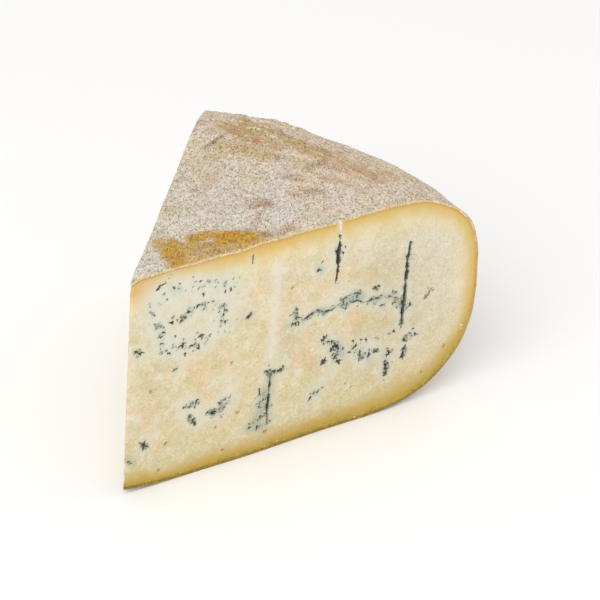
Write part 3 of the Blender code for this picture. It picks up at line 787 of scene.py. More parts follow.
def mould_sites(cut, pits):
    """Every speck of mould on a cut: the pits, the specks seen in the photograph, and small sprays.

    Gives (place, across, depth, phase) of each, in millimetres.
    """
    draw = random.Random(SPRAY_SEED + cut)
    sites = [(tuple(pit.place), 2 * PIT_MOUTH * pit.size, pit.depth) for pit in pits if pit.cut == cut]
    if cut == NEAR_CUT:
        sites += [((along, above), across, SPECK_DEPTH * across) for along, above, across in SPECKS]
    sprays = [
        (vein.points, vein.pits * SPRAY_PER_PIT[cut], SPRAY_SPREAD * vein.spread, SPRAY_SIZES,
         min(LARGEST_SPRAY, vein.size))
        for vein in VEINS if vein.cut == cut
    ]
    for slit in SLITS:
        if slit.cut == cut:
            length = sum(math.dist(*ends) for ends in zip(slit.points, slit.points[1:]))
            number = round(length * slit.dark * (0.15 + 1.4 * slit.patchy))
            sprays.append((slit.points, number, 0.6 + 0.7 * slit.patchy, SLIT_SPRAY_SIZES, 1))
    for points, number, spread, sizes, scale in sprays:
        for _ in range(number):
            place = strewn_place(draw, points, draw.random(), spread)
            across = draw.uniform(*sizes) * scale
            sites.append((tuple(place), across, SPRAY_DEPTH * across))
    return [(*site, draw.uniform(0, math.tau)) for site in sites]


def star_share(places, centre, across, phase, wobble, arms=1.0):
    """How far out of a ragged speck each place lies: 1 at its edge."""
    away = places - centre
    turn = np.arctan2(away[:, 1], away[:, 0])
    star = sum(tall * np.sin(number * turn + twist * phase) for number, tall, twist in LOBES)
    return np.hypot(*away.T) / (across / 2 * (1 + arms * star)) * (1 + RAGGEDNESS * wobble)


def mark_specks(grid, places, wobble):
    """How deep specks of mould go, and how they line, flush and bleach the paste at each place."""
    depth, mould, flush, halo = np.zeros((4, len(places)))
    for centre, across, deep, phase in grid.sites:
        gap = np.linalg.norm(places - centre, axis=1)
        close = np.flatnonzero(gap < SPECK_REACH)
        share = star_share(places[close], centre, across, phase, wobble[close])
        depth[close] = np.maximum(depth[close], deep * smooth_step((1.2 - share) / 0.8))
        strength = min(1.1, 0.4 + 0.45 * across)
        mould[close] = np.maximum(mould[close], strength * smooth_step((1.5 - share) / 1.1))
        flush[close] += 0.35 * bell(gap[close], FLUSH_REACH * (0.4 + 0.5 * across))
        halo[close] += 0.16 * bell(gap[close], HALO_REACH)
    return depth, mould, flush, halo


def soft_tints(grid, places, clouds):
    """How strongly each kind of soft patch tints the paste at each place."""
    tints = {kind: np.zeros(len(places)) for kind in TINT_KINDS}
    for tint in TINTS:
        if tint.cut == grid.cut:
            gap = path_distance(places, tint.points) / tint.width
            soft = bell(gap * (1 + 0.25 * clouds), 1) * tint.strength
            tints[tint.kind] = np.maximum(tints[tint.kind], soft)
    return tints


def dry_tracks(grid, places, wobble):
    """Where the slits with no mould show as pale streaks that narrow downwards."""
    track = np.zeros(len(places))
    for slit in grid.slits:
        if not slit.dark:
            first, last = slit.points[0], slit.points[-1]
            share = np.linalg.norm(places - first, axis=1) / math.dist(first, last)
            half = slit.width / 2 * (1.3 - 0.85 * smooth_step(share))
            gap = path_distance(places, slit.points) / half + 0.4 * wobble
            track = np.maximum(track, smooth_step((1.5 - gap) / 0.6))
    return track


def cut_details(grid, places):
    """Depth below the cut in metres, and the tint of each place, from veins, slits and pits."""
    points = np.column_stack([places, np.full(len(places), CUTS_APART * (grid.cut + 1))])
    wobble = noise_at(points, WOBBLE_SIZE)
    patches = noise_at(points, PATCH_SIZE, (5, 1, 3))
    clouds = noise_at(points, CLOUD_SIZE, (9, 2, 6))
    depth, mould, flush, halo = mark_specks(grid, places, wobble)
    ochre, blue = np.zeros((2, len(places)))
    for slit in grid.slits:
        ends = [np.linalg.norm(places - end, axis=1) for end in (slit.points[0], slit.points[-1])]
        if slit.dark:
            taper = 0.45 + 0.55 * smooth_step(np.minimum(ends[0] * 1.6, ends[1]) / SLIT_TAPER)
        else:
            taper = 1.3 - 0.85 * smooth_step(ends[0] / (ends[0] + ends[1]))
        gap = path_distance(places + np.column_stack([0.25 * wobble, 0 * wobble]), slit.points)
        gap = gap / (slit.width / 2 * taper * (1 + 0.9 * patches)) + 0.3 * wobble
        grit = (1 - slit.patchy) * (2.2 * patches + 1.1 * wobble)
        grit += slit.patchy * (1.2 * patches + 3.0 * wobble)
        lined = 1 - slit.patchy * smooth_step(0.55 - grit)
        least = 0.5 * (1 - slit.patchy)
        deep = slit.depth * 0.8 * (least + (1 - least) * lined)
        depth = np.maximum(depth, deep * smooth_step((1.0 - gap) / 0.8))
        mould = np.maximum(mould, 1.1 * slit.dark * lined * smooth_step((1.4 - gap) / 0.8))
        flush += slit.dark * 0.8 * bell(gap, 1.7 + 1.0 * slit.patchy)
        halo += slit.dark * 0.4 * bell(gap, 4)
        blue = np.maximum(blue, slit.patchy * 0.9 * bell(gap, 1.7))
    for along, above, across in BARE_PITS[grid.cut]:
        share = star_share(places, (along, above), across, along, wobble, 0.3)
        depth = np.maximum(depth, across * 0.3 * smooth_step((1.1 - share) / 0.8))
        ochre = np.maximum(ochre, smooth_step((1.7 - share) / 1.3))
        mould = mould * smooth_step(share - 0.9)
    tints = soft_tints(grid, places, clouds)
    tints.update(
        mould=mould, flush=np.clip(flush, 0, 1.2), halo=np.clip(halo, 0, 1), ochre_pit=ochre,
        blue=np.maximum(tints["blue"], blue), track=dry_tracks(grid, places, wobble),
    )
    return depth * MM, tints


def nearest_on_outline(places, radii, heights):
    """The number of the outline's point that is nearest to each place."""
    parts = np.array_split(places, len(places) // PLACES_AT_ONCE + 1)
    return np.concatenate([
        ((part[:, None, 0] - radii) ** 2 + (part[:, None, 1] - heights) ** 2).argmin(1) for part in parts
    ])


def depth_under_rind(places, away):
    """How deep each place of a cut lies under the rind, in mm, as the gold there counts it.

    The gold above the base broadens from tip to heel, and on the upper heel it is narrower.
    """
    along, level = places[:, 0] / MM, places[:, 1] / WHEEL_HEIGHT
    broad = TIP_GOLD + (HEEL_GOLD - TIP_GOLD) * smooth_step((along - 20) / 110)
    low = smooth_step((0.45 - level) / 0.3)
    heel = smooth_step((along - 125) / 25) * (1 - low)
    return away / MM * (1 + low * (BASE_GOLD / broad - 1)) * (1 + 0.25 * heel)


def make_paste(sizes, material):
    """The paste as one closed body: two finely cut faces and a skin under the rind."""
    pits = draw_pits()
    grids = [CutGrid(cut, pits) for cut in (NEAR_CUT, FAR_CUT)]
    maker = paste_topology(grids)
    keys = list(maker.numbers)
    count = len(keys)
    spots = np.zeros((count, 3))
    tints = {name: np.zeros(count) for name in PASTE_TINTS}
    rim, level = np.zeros((2, count))

    radii, heights, across, up = outline(OUTLINE_POINTS)
    inset = sizes.rind_thickness
    for grid in grids:
        angle = CUT_ANGLES[grid.cut]
        mine = [n for n, key in enumerate(keys) if key[0] == grid.cut or key[0] == "tip"]
        flat = np.array([grid.place(keys[n][1], keys[n][2]) for n in mine])
        # By the outline a cut follows the rind's relief
        close = nearest_on_outline(flat, radii, heights)
        away = np.hypot(flat[:, 0] - radii[close], flat[:, 1] - heights[close])
        ring = round_axis(radii, np.full(len(radii), angle), heights)
        relief = rind_relief(ring, radii, np.full(len(radii), angle), heights)
        fade = (1 - smooth_step(away / RELIEF_REACH)) * (relief[close] - inset)
        moved = flat + np.stack([across[close], up[close]], -1) * fade[:, None]
        moved[:, 0] = np.where(flat[:, 0] < 1e-6, 0, np.maximum(moved[:, 0], 0))
        depth, found = cut_details(grid, flat / MM)
        points = round_axis(moved[:, 0], np.full(len(mine), angle), moved[:, 1])
        wave = knife_wave(points, moved[:, 0])
        depth = depth * smooth_step(flat[:, 0] / TIP_CALM)
        points += facing(grid.cut) * (wave - depth)[:, None]
        spots[mine] = points
        rim[mine] = depth_under_rind(flat, away)
        level[mine] = flat[:, 1] / WHEEL_HEIGHT
        for name in PASTE_TINTS:
            tints[name][mine] = np.maximum(tints[name][mine], found[name])

    for n, (kind, i, at, *rest) in enumerate(keys):
        if kind == "skin":
            radius = grids[0].radii[i]
            height = top_height(radius) if rest[0] else base_height(radius)
            inner = radius - 2 * inset * (i / grids[0].last) ** 4
            lower = height - (2 * inset if rest[0] else -2 * inset) * (1 if i < grids[0].last else 0)
            spots[n] = round_axis(max(inner, 0), WEDGE_ANGLE * at / SKIN_TURNS, lower)
            level[n] = height / WHEEL_HEIGHT
    inward = np.array((math.cos(WEDGE_ANGLE / 2), math.sin(WEDGE_ANGLE / 2), 0))
    for height, chip in TIP_CHIPS:
        gap = np.hypot(spots[:, 0] / CHIP_WIDTH, spots[:, 2] - height * MM) / (chip / 2 * MM)
        spots += inward * (chip * CHIP_DEPTH * MM * smooth_step(1.2 - gap))[:, None]

    mesh = maker.mesh("paste", spots + np.array(TIP))
    for name in PASTE_TINTS:
        store(mesh, name, tints[name])
    store(mesh, "tufts", smooth_step((tints["mould"] - 0.6) * 3))
    store(mesh, "rim", rim)
    store(mesh, "level", level)
    return add_piece("paste", mesh, material)


def ring_counts(radii, heights):
    """How many faces go round each ring of the rind: twice as many wherever they would get too long."""
    counts = []
    for radius, height in zip((radii[1:] + radii[:-1]) / 2, (heights[1:] + heights[:-1]) / 2):
        step = RIND_STEP if height > COARSE_BELOW else 2 * RIND_STEP
        wanted = radius * WEDGE_ANGLE / step
        doublings = math.ceil(math.log2(max(1, wanted / 8)))
        counts.append(min(MOST_ROUND, FEWEST_ROUND * 2**doublings))
    return counts


def rind_topology(counts):
    """The rind's faces: outside, inside, and the two edges that the knife cut."""
    maker = MeshMaker()
    rings = len(counts)
    circle = [max(counts[max(0, k - 1)], counts[min(rings - 1, k)]) for k in range(rings + 1)]

    def key(kind, k, share):
        """A point of the rind. Either end of the outline is a single point."""
        return (kind, k, 0 if k in (0, rings) else share)

    def quad(kinds, k, shares):
        """A face between two rings."""
        maker.face([key(kinds[0], k, shares[0]), key(kinds[0], k + 1, shares[0]),
                    key(kinds[1], k + 1, shares[1]), key(kinds[1], k, shares[1])])

    for k, count in enumerate(counts):
        for n in range(count):
            sides = []
            for at in (k, k + 1):
                steps = circle[at] // count
                shares = [(n * steps + s) * MOST_ROUND // circle[at] for s in range(steps + 1)]
                sides.append([key("out", at, share) for share in shares])
            maker.face(sides[0] + sides[1][::-1])
        for n in range(0, MOST_ROUND, INSIDE_SPAN):
            quad(("in", "in"), k, (n, n + INSIDE_SPAN))
        for share in (0, MOST_ROUND):
            for kinds in (("out", "mid"), ("mid", "in")):
                quad(kinds, k, (share, share))
    return maker


def make_rind(sizes, material):
    """The rind: a thin closed shell over the top, the heel and the base, with two knife-cut edges."""
    rings = round(sum(even_radii(*side, 2)[1] for side in SIDES) / RIND_STEP)
    radii, heights, across, up = outline(rings)
    maker = rind_topology(ring_counts(radii, heights))
    keys = list(maker.numbers)
    k = np.array([key[1] for key in keys])
    share = np.array([key[2] for key in keys]) / MOST_ROUND
    kind = np.array([RIND_LAYERS.index(key[0]) for key in keys])
    angles = share * WEDGE_ANGLE
    flat = round_axis(radii[k], angles, heights[k])
    outward = round_axis(across[k], angles, up[k])
    relief = rind_relief(flat, radii[k], angles, heights[k])

    # Needle marks dent the top, and dry needle tracks notch the cut edges
    places = flat[:, :2] / MM
    upper = heights[k] > WHEEL_HEIGHT / 2
    for along, away, size in NEEDLE_MARKS:
        gap = np.linalg.norm(places - (along, away), axis=1) / (size / 2)
        relief -= MARK_DEPTH * smooth_step(1.25 - gap) * upper

    on_edge = (share == 0) | (share == 1)
    ragged = noise_at(flat, RAG_SIZE, (3, 3, 8))
    inset = np.choose(kind, LAYER_DEPTHS) * sizes.rind_thickness
    inset = inset + np.where(on_edge & (kind == 0), EDGE_WANDER * ragged, 0)
    points = flat + outward * (relief - inset)[:, None]
    low = (kind == 2) & (heights[k] < WHEEL_HEIGHT / 2)
    points[:, 2] = np.where(low, np.maximum(points[:, 2], FLOOR_GAP), points[:, 2])
    wave = knife_wave(points, radii[k])
    proud = np.choose(kind, EDGE_PROUD) * MM + EDGE_RAGGED * MM * ragged
    for cut in (NEAR_CUT, FAR_CUT):
        here = on_edge & (share == cut) & (radii[k] > 0)
        push = wave + proud
        for slit in SLITS:
            if slit.cut == cut and not slit.dark:
                gap = abs(radii[k] / MM - slit.points[0][0]) / (slit.width * 0.7)
                push = push - slit.depth * MM * smooth_step(1.3 - gap) * upper
        points += facing(cut) * (push * here)[:, None]

    mesh = maker.mesh("rind", points + np.array(TIP))
    stains = {name: np.zeros(len(keys)) for name in STAIN_KINDS}
    clouds = noise_at(flat, STAIN_CLOUDS, (2, 7, 4))
    fine = noise_at(flat, STAIN_GRIT, (8, 1, 1))
    for stain in STAINS:
        gap = path_distance(places, stain.points) / stain.width
        soft = np.clip(1.5 - gap + 0.45 * clouds + 0.2 * fine, 0, 1) * stain.strength * upper
        stains[stain.kind] = np.maximum(stains[stain.kind], soft)
    # The heel and the base have stains of the same kinds, strewn by noise
    hidden = smooth_step((WHEEL_HEIGHT * 0.8 - heights[k]) / (WHEEL_HEIGHT * 0.25))
    for number, name in enumerate(STAIN_KINDS):
        wild = noise_at(flat, HIDDEN_PATCHES, (number * 7 + 1, 4, 2)) + 0.35 * clouds + 0.15 * fine
        start, amount = HIDDEN_STAINS[name]
        stains[name] = np.maximum(stains[name], amount * smooth_step((wild - start) * 2.5) * hidden)
    # Pale bloom lies over the olive and tan
    for name in ("olive", "tan"):
        stains[name] *= 1 - 0.6 * np.clip(stains["bloom"], 0, 1)
    for name in STAIN_KINDS:
        store(mesh, name, stains[name])
    store(mesh, "edge", on_edge * np.choose(kind, EDGE_BARE))
    store(mesh, "level", heights[k] / WHEEL_HEIGHT)
    store(mesh, "outward", outward)
    free = np.where(kind == 2, 1.0, 0.0) * np.where(on_edge, EDGE_RELIEF, 1.0)
    free = free * np.where(upper, 1.0, smooth_step((heights[k] - BASE_FLAT) / BASE_FADE))
    store(mesh, "free", free)
    store(mesh, "grains", free * (1 - WET_LOSS * np.clip(2 * stains["ochre"], 0, 1)))
    return add_piece("rind", mesh, material)


def add(tree, kind, inputs=None, out=0, **settings):
    """Adds a node with its settings, sets or links its inputs, and gives one of its outputs."""
    node = tree.nodes.new(kind)
    for name, value in settings.items():
        setattr(node, name, value)
    for key, value in (inputs or {}).items():
        if isinstance(value, bpy.types.NodeSocket):
            tree.links.new(value, node.inputs[key])
        else:
            node.inputs[key].default_value = value
    return node.outputs[out] if node.outputs else node


def start_material(name):
    """An empty material with its tree and the object's own coordinates."""
    material = bpy.data.materials.new(name)
    material.use_nodes = True
    tree = material.node_tree
    tree.nodes.clear()
    return material, tree, add(tree, "ShaderNodeTexCoord", out="Object")


def opaque(colour):
    """A hex value, or linear parts, as a node's colour. A socket stays as it is."""
    if isinstance(colour, bpy.types.NodeSocket):
        return colour
    return (*(linear(colour) if isinstance(colour, str) else colour), 1)


def lay_tints(tree, colour, rows):
    """Lays tints over a colour.

    A row is what steers the tint, the values between which it comes in, its strength, its colour, and
    what else holds it back.
    """
    for steer, start, end, strength, tint, *masks in rows:
        share = add(tree, "ShaderNodeMapRange", {0: steer, 1: start, 2: end, 3: 0.0, 4: strength})
        for mask in masks:
            share = add(tree, "ShaderNodeMath", {0: share, 1: mask}, operation="MULTIPLY")
        colour = add(tree, "ShaderNodeMix", {
            0: share, 6: opaque(colour), 7: opaque(tint),
        }, out=2, data_type="RGBA")
    return colour


def gold_under_rind(tree, colour, colours, part, wave):
    """Lays gold over the paste near the rind: thin and bright at the top, broad and ochre at the base."""
    patchy, middle, fine, dust = (wave[name] for name in ("patchy", "middle", "fine", "dust"))
    wander = add(tree, "ShaderNodeMath", {0: patchy, 1: 6.0, 2: -3.0}, operation="MULTIPLY_ADD")
    rim = add(tree, "ShaderNodeMath", {0: part["rim"], 1: wander}, operation="ADD")
    upper = add(tree, "ShaderNodeMapRange", {0: part["level"], 1: 0.17, 2: 0.52})
    lower = add(tree, "ShaderNodeMath", {0: 1.0, 1: upper}, operation="SUBTRACT")
    glow_top, glow_base = (
        add(tree, "ShaderNodeMapRange", {
            0: rim, 1: inner, 2: outer, 4: most,
        }, interpolation_type="SMOOTHSTEP")
        for inner, outer, most in ((11.0, 0.5, 0.95), (BASE_GOLD, 1.5, 1.0))
    )
    glow = add(tree, "ShaderNodeMix", {0: upper, 2: glow_base, 3: glow_top})
    top_gold = lay_tints(tree, colours.top_gold, ((wave["blush"], 0.44, 0.58, 1, "#dabb64"),))
    gold = add(tree, "ShaderNodeMix", {
        0: upper, 6: opaque(colours.base_gold), 7: top_gold,
    }, out=2, data_type="RGBA")
    crust = lay_tints(tree, "#a9923a", (
        (middle, 0.48, 0.62, 1, "#bf9d45"),
        (wave["cloudy"], 0.5, 0.64, 0.8, "#c9ae58"),
        (fine, 0.48, 0.36, 1, "#877430"),
        (dust, 0.54, 0.66, 0.7, "#d3bd6c"),
    ))
    return lay_tints(tree, colour, (
        (rim, 19, 6, 0.42, "#f2dda2", upper),
        (glow, 0, 1, 1, gold),
        (part["gold"], 0, 1, 1, "#dcae5e"),
        (part["rim"], 3.4, 1.0, 0.85, crust, lower),
        (part["rim"], 2.0, 0.9, 0.5, "#cf9f55", upper),
    ))


def mould_on_paste(tree, colour, colours, part, wave):
    """Mould bleaches the paste round it, tints it grey-green, and shows as ragged specks."""
    middle, fine, dust = (wave[name] for name in ("middle", "fine", "dust"))
    mist, cloud, uneven = (
        add(tree, "ShaderNodeMapRange", {0: steer, 1: start, 2: end, 3: low, 4: high})
        for steer, start, end, low, high in (
            (fine, 0.35, 0.65, 0.5, 1.0), (fine, 0.35, 0.6, 0.25, 0.9), (middle, 0.35, 0.65, 0.5, 1.1),
        )
    )
    flush = add(tree, "ShaderNodeMath", {0: part["flush"], 1: uneven}, operation="MULTIPLY", use_clamp=True)
    wish = add(tree, "ShaderNodeMath", {0: flush, 1: 0.3, 2: fine}, operation="MULTIPLY_ADD")
    near = add(tree, "ShaderNodeMapRange", {0: flush, 1: 0.05, 2: 0.25, 4: 0.5})
    wish = add(tree, "ShaderNodeMapRange", {0: wish, 1: 0.72, 2: 0.78})
    specks = add(tree, "ShaderNodeMath", {0: wish, 1: near}, operation="MULTIPLY")
    core = add(tree, "ShaderNodeMath", {0: dust, 1: 0.9, 2: part["mould"]}, operation="MULTIPLY_ADD")
    core = add(tree, "ShaderNodeMapRange", {0: core, 1: 0.86, 2: 1.12})
    mould = add(tree, "ShaderNodeMath", {0: specks, 1: core}, operation="MAXIMUM")
    dark = lay_tints(tree, colours.mould, ((dust, 0.35, 0.65, 1, "#6f7360"),))
    colour = lay_tints(tree, colour, (
        (part["white"], 0, 1, 1, "#e0e0d4"),
        (part["halo"], 0, 1, 1, "#dfdcca", cloud),
        (flush, 0, 1, 0.5, "#b9bda8"),
        (part["green"], 0, 1, 1, "#a1a68f", mist),
        (part["blue"], 0, 1, 1, "#a8b4b1", mist),
        (part["ochre_pit"], 0.1, 0.7, 0.6, "#c9af6e"),
        (part["ochre_pit"], 0.6, 1.0, 0.6, "#a88f4c"),
        (part["track"], 0, 1, 0.95, "#ebdccb"),
        (part["streak"], 0, 1, 1, "#e9e1d6", mist),
        (mould, 0, 1, 1, dark),
    ))
    return colour, mould


def knife_cut_paste(colours):
    """Semi-hard cheese paste, cut with a smooth blade: soft, slightly moist, and lit from inside."""
    material, tree, here = start_material("knife-cut semi-hard cheese paste")
    part = {
        name: add(tree, "ShaderNodeAttribute", out="Fac", attribute_name=name)
        for name in (*PASTE_TINTS, "rim", "level")
    }
    wave = {
        name: add(tree, "ShaderNodeTexNoise", {
            "Vector": here, "W": place, "Scale": 1 / (size * MM), "Detail": detail, "Distortion": twist,
            "Roughness": 0.55,
        }, noise_dimensions="4D")
        for name, size, place, detail, twist in (
            ("broad", 24, 0, 2.0, 0.4), ("patchy", 11, 1, 3.0, 0.6), ("blush", 12, 2, 1.0, 0.8),
            ("middle", 4.5, 3, 3.0, 0.3), ("cloudy", 3.4, 4, 1.0, 0.6), ("fine", 1.3, 5, 3.0, 1.2),
            ("dust", 0.7, 6, 1.0, 0.5),
        )
    }
    broad, patchy, middle, fine, dust = (wave[name] for name in ("broad", "patchy", "middle", "fine", "dust"))

    # The paste is mottled: yellower, pinker and whiter patches from a millimetre to two centimetres across
    colour = lay_tints(tree, colours.paste, (
        (broad, 0.46, 0.6, 0.9, "#e9d8aa"),
        (broad, 0.5, 0.36, 0.9, "#cfc298"),
        (part["warm"], 0, 1, 1, "#e1ca9d"),
        (patchy, 0.49, 0.61, 0.9, "#e4dec9"),
        (patchy, 0.47, 0.35, 0.8, "#d4be8c"),
        (wave["blush"], 0.51, 0.64, 0.9, "#e6cba4"),
        (wave["blush"], 0.48, 0.36, 0.8, "#dcd7b4"),
        (part["ivory"], 0, 1, 1, "#e1dcca"),
        (part["dull"], 0, 1, 1, "#c4b78e"),
        (part["level"], 0.55, 0.05, 0.6, "#d2c595"),
        (middle, 0.53, 0.67, 0.6, "#eae4d2"),
        (middle, 0.46, 0.33, 0.5, "#d3bf8d"),
        (wave["cloudy"], 0.54, 0.68, 0.5, "#e6d1b0"),
        (wave["cloudy"], 0.46, 0.34, 0.45, "#d4c997"),
        (fine, 0.57, 0.72, 0.6, "#f3ebd8"),
        (fine, 0.43, 0.3, 0.55, "#c4ad79"),
        (dust, 0.56, 0.7, 0.45, "#f2ead6"),
        (dust, 0.43, 0.3, 0.45, "#c2ab7a"),
    ))
    colour = gold_under_rind(tree, colour, colours, part, wave)
    colour, mould = mould_on_paste(tree, colour, colours, part, wave)
    height = add(tree, "ShaderNodeMath", {0: middle, 1: 2.0, 2: fine}, operation="MULTIPLY_ADD")
    height = add(tree, "ShaderNodeMath", {0: height, 1: mould}, operation="SUBTRACT")
    shader = add(tree, "ShaderNodeBsdfPrincipled", {
        "Base Color": colour, "IOR": 1.44, "Specular IOR Level": 0.35,
        "Roughness": add(tree, "ShaderNodeMapRange", {0: mould, 3: 0.5, 4: 0.9}),
        "Normal": add(tree, "ShaderNodeBump", {"Height": height, "Strength": 0.4, "Distance": 0.4 * MM}),
        "Subsurface Weight": add(tree, "ShaderNodeMapRange", {0: mould, 2: 0.6, 3: 0.25, 4: 0.0}),
        "Subsurface Scale": 1.6 * MM, "Subsurface Radius": (1.0, 0.7, 0.35),
    })
    add(tree, "ShaderNodeOutputMaterial", {"Surface": shader})
    return material


def along_grain(tree, place):
    """Places turned and squeezed, so that noise read there is drawn out along the rind's grain."""
    turned = add(tree, "ShaderNodeVectorRotate", {
        "Vector": place, "Angle": GRAIN_TURN,
    }, rotation_type="Z_AXIS")
    return add(tree, "ShaderNodeVectorMath", {0: turned, 1: GRAIN_SQUEEZE}, operation="MULTIPLY")


def ochre_stain(tree, colours, wave, amount):
    """The rind's ochre stains: mottled tan, and gold where the rind was wettest. Both darken in the bump's
    hollows and the tan pales on its raised parts, partly as painted shade and painted light.
    """
    wet = lay_tints(tree, colours.rind_ochre, (
        (wave["blush"], 0.48, 0.6, 0.8, "#bd9e14"),
        (wave["bloom"], 0.49, 0.4, 0.8, "#cb8c1e"),
        # Darker gold in the bump's hollows: partly the stain's own tone, partly painted shade
        (wave["small"], 0.46, 0.36, 0.6, "#a97c1c"),
    ))
    return lay_tints(tree, "#d0aa64", (
        (wave["blush"], 0.5, 0.62, 0.8, "#c2a04a"),
        (wave["blush"], 0.44, 0.34, 0.9, "#dfc490"),
        # Paler tan on the bump's raised parts and darker tan in its hollows: partly the stain's mottling,
        # partly painted light and painted shade
        (wave["small"], 0.53, 0.64, 0.8, "#dcb766"),
        (wave["small"], 0.45, 0.34, 0.8, "#a67f3c"),
        (wave["bloom"], 0.5, 0.42, 0.5, "#c89a54"),
        (amount, 0.68, 0.95, 1, wet),
    ))


def bare_edge(tree, wave, level):
    """The rind's edge where the knife bared it: cream and gold at the top, tan lower, olive at the base."""
    high = add(tree, "ShaderNodeMapRange", {0: level, 1: 0.5, 2: 0.97})
    return lay_tints(tree, "#8d7a34", (
        (level, 0.02, 0.3, 1, "#c2a05c"),
        (level, 0.6, 0.97, 1, "#e5c88e"),
        # Pale flecks on the bump's raised parts near the top, and darker dust in its hollows: partly the
        # edge's own tone, partly painted light and painted shade
        (wave["small"], 0.46, 0.58, 1, "#f3e1bd", high),
        (wave["dust"], 0.46, 0.36, 0.7, "#cfa564"),
    ))


def natural_rind(colours):
    """Dry natural rind, salted, turned and brushed while it ripened: powdery, grainy and matt."""
    material, tree, here = start_material("brushed natural cheese rind")
    part = {
        name: add(tree, "ShaderNodeAttribute", out="Fac", attribute_name=name)
        for name in ("edge", "level", *STAIN_KINDS)
    }
    # Towards the heel the grain is combed round the wheel
    laid = along_grain(tree, here)
    spot = add(tree, "ShaderNodeVectorMath", {0: here, 1: TIP}, operation="SUBTRACT")
    flat = add(tree, "ShaderNodeVectorMath", {0: spot, 1: (1, 1, 0)}, operation="MULTIPLY")
    radius = add(tree, "ShaderNodeVectorMath", {0: flat}, out="Value", operation="LENGTH")
    spot = add(tree, "ShaderNodeSeparateXYZ", {0: spot}).node.outputs
    around = add(tree, "ShaderNodeMath", {0: spot[1], 1: spot[0]}, operation="ARCTAN2")
    # A radian is 160 mm of rind there and 26 mm of pattern, so a streak 1.3 mm wide is about 8 mm long
    around = add(tree, "ShaderNodeMath", {0: around, 1: 26 * MM}, operation="MULTIPLY")
    combed = add(tree, "ShaderNodeCombineXYZ", {0: radius, 1: around, 2: spot[2]})
    wave = {
        name: add(tree, "ShaderNodeTexNoise", {
            "Vector": where, "W": place, "Scale": 1 / (size * MM), "Detail": detail, "Roughness": rough,
            "Distortion": 0.5,
        }, noise_dimensions="4D")
        for name, where, size, place, detail, rough in (
            ("wide", here, 26, 0, 2.0, 0.5), ("bloom", here, 9, 1, 2.0, 0.5),
            ("blush", here, 3.2, 2, 2.0, 0.5), ("middle", here, 11, 3, 3.0, 0.55),
            ("small", here, 4, 4, 3.0, 0.6),
            ("grain", laid, 1.9, 5, 2.0, 0.6), ("dust", laid, 0.95, 6, 1.0, 0.5),
            ("streak", combed, 1.3, 7, 2.0, 0.6),
        )
    }
    small, grain, dust, streak = (wave[name] for name in ("small", "grain", "dust", "streak"))
    lets = add(tree, "ShaderNodeMapRange", {0: small, 1: 0.3, 2: 0.6})
    outer = add(tree, "ShaderNodeMapRange", {0: radius, 1: 0.1, 2: 0.125})

    # Soft blushes under the dust: lilac, olive, pink, bluish white and brown
    colour = lay_tints(tree, colours.rind, (
        (wave["wide"], 0.49, 0.6, 1, "#d4c59c"),
        (wave["wide"], 0.48, 0.39, 1, "#d7c6bc"),
        (wave["bloom"], 0.52, 0.63, 0.8, "#dbc2ac"),
        (wave["bloom"], 0.47, 0.37, 0.8, "#d0cbb4"),
        (wave["blush"], 0.53, 0.65, 0.5, "#ddc1ab"),
        (wave["blush"], 0.46, 0.34, 0.6, "#cdc69c"),
        (wave["middle"], 0.54, 0.66, 0.35, "#dfd8ce"),
        (wave["middle"], 0.44, 0.33, 0.3, "#c3ad8e"),
        # Paler where the bump raises the rind and darker where it sinks: partly the rind's own tone, partly
        # painted light and painted shade
        (small, 0.56, 0.68, 0.25, "#e6e0d6"),
        (small, 0.42, 0.32, 0.25, "#bdaa90"),
        (radius, 0.09, 0.05, 0.5, "#d1cabf"),
        (radius, 0.085, 0.125, 0.6, "#e0c5a8"),
        (part["bloom"], 0, 1, 1, "#d3cbc5", lets),
    ))

    # Ochre stains end raggedly, where smaller noise lets them through. The others fade out.
    ragged = add(tree, "ShaderNodeMath", {0: grain, 1: 0.6, 2: small}, operation="MULTIPLY_ADD")
    ragged = add(tree, "ShaderNodeMath", {0: dust, 1: 0.4, 2: ragged}, operation="MULTIPLY_ADD")
    crisp = add(tree, "ShaderNodeMath", {0: ragged, 1: 2.0, 2: part["ochre"]}, operation="MULTIPLY_ADD")
    crisp = add(tree, "ShaderNodeMapRange", {0: crisp, 1: 2.12, 2: 2.66, 4: 0.97})
    crisp = add(tree, "ShaderNodeMath", {
        0: crisp, 1: add(tree, "ShaderNodeMapRange", {0: part["ochre"], 1: 0.02, 2: 0.3}),
    }, operation="MULTIPLY")
    mottle, spots, bare = (
        add(tree, "ShaderNodeMapRange", {0: steer, 1: start, 2: end, 3: low, 4: high})
        for steer, start, end, low, high in (
            (ragged, 0.85, 1.15, 0.45, 1.1), (ragged, 0.88, 1.1, 0.2, 1.15), (crisp, 0, 1, 1.0, 0.15),
        )
    )
    ochre = ochre_stain(tree, colours, wave, part["ochre"])
    tan = lay_tints(tree, "#c39a5e", (
        (wave["bloom"], 0.46, 0.58, 1, "#c08a58"),
        (wave["middle"], 0.5, 0.64, 1, "#bda35c"),
    ))
    # Dark pores, tinted by the ochre and brown stains: partly the rind's own pits, partly painted shade in
    # the bump's hollows
    pore_and_shade = lay_tints(tree, "#9a8867", (
        (crisp, 0, 1, 1, "#a57e30"),
        (part["brown"], 0, 1, 1, "#7c5940"),
    ))
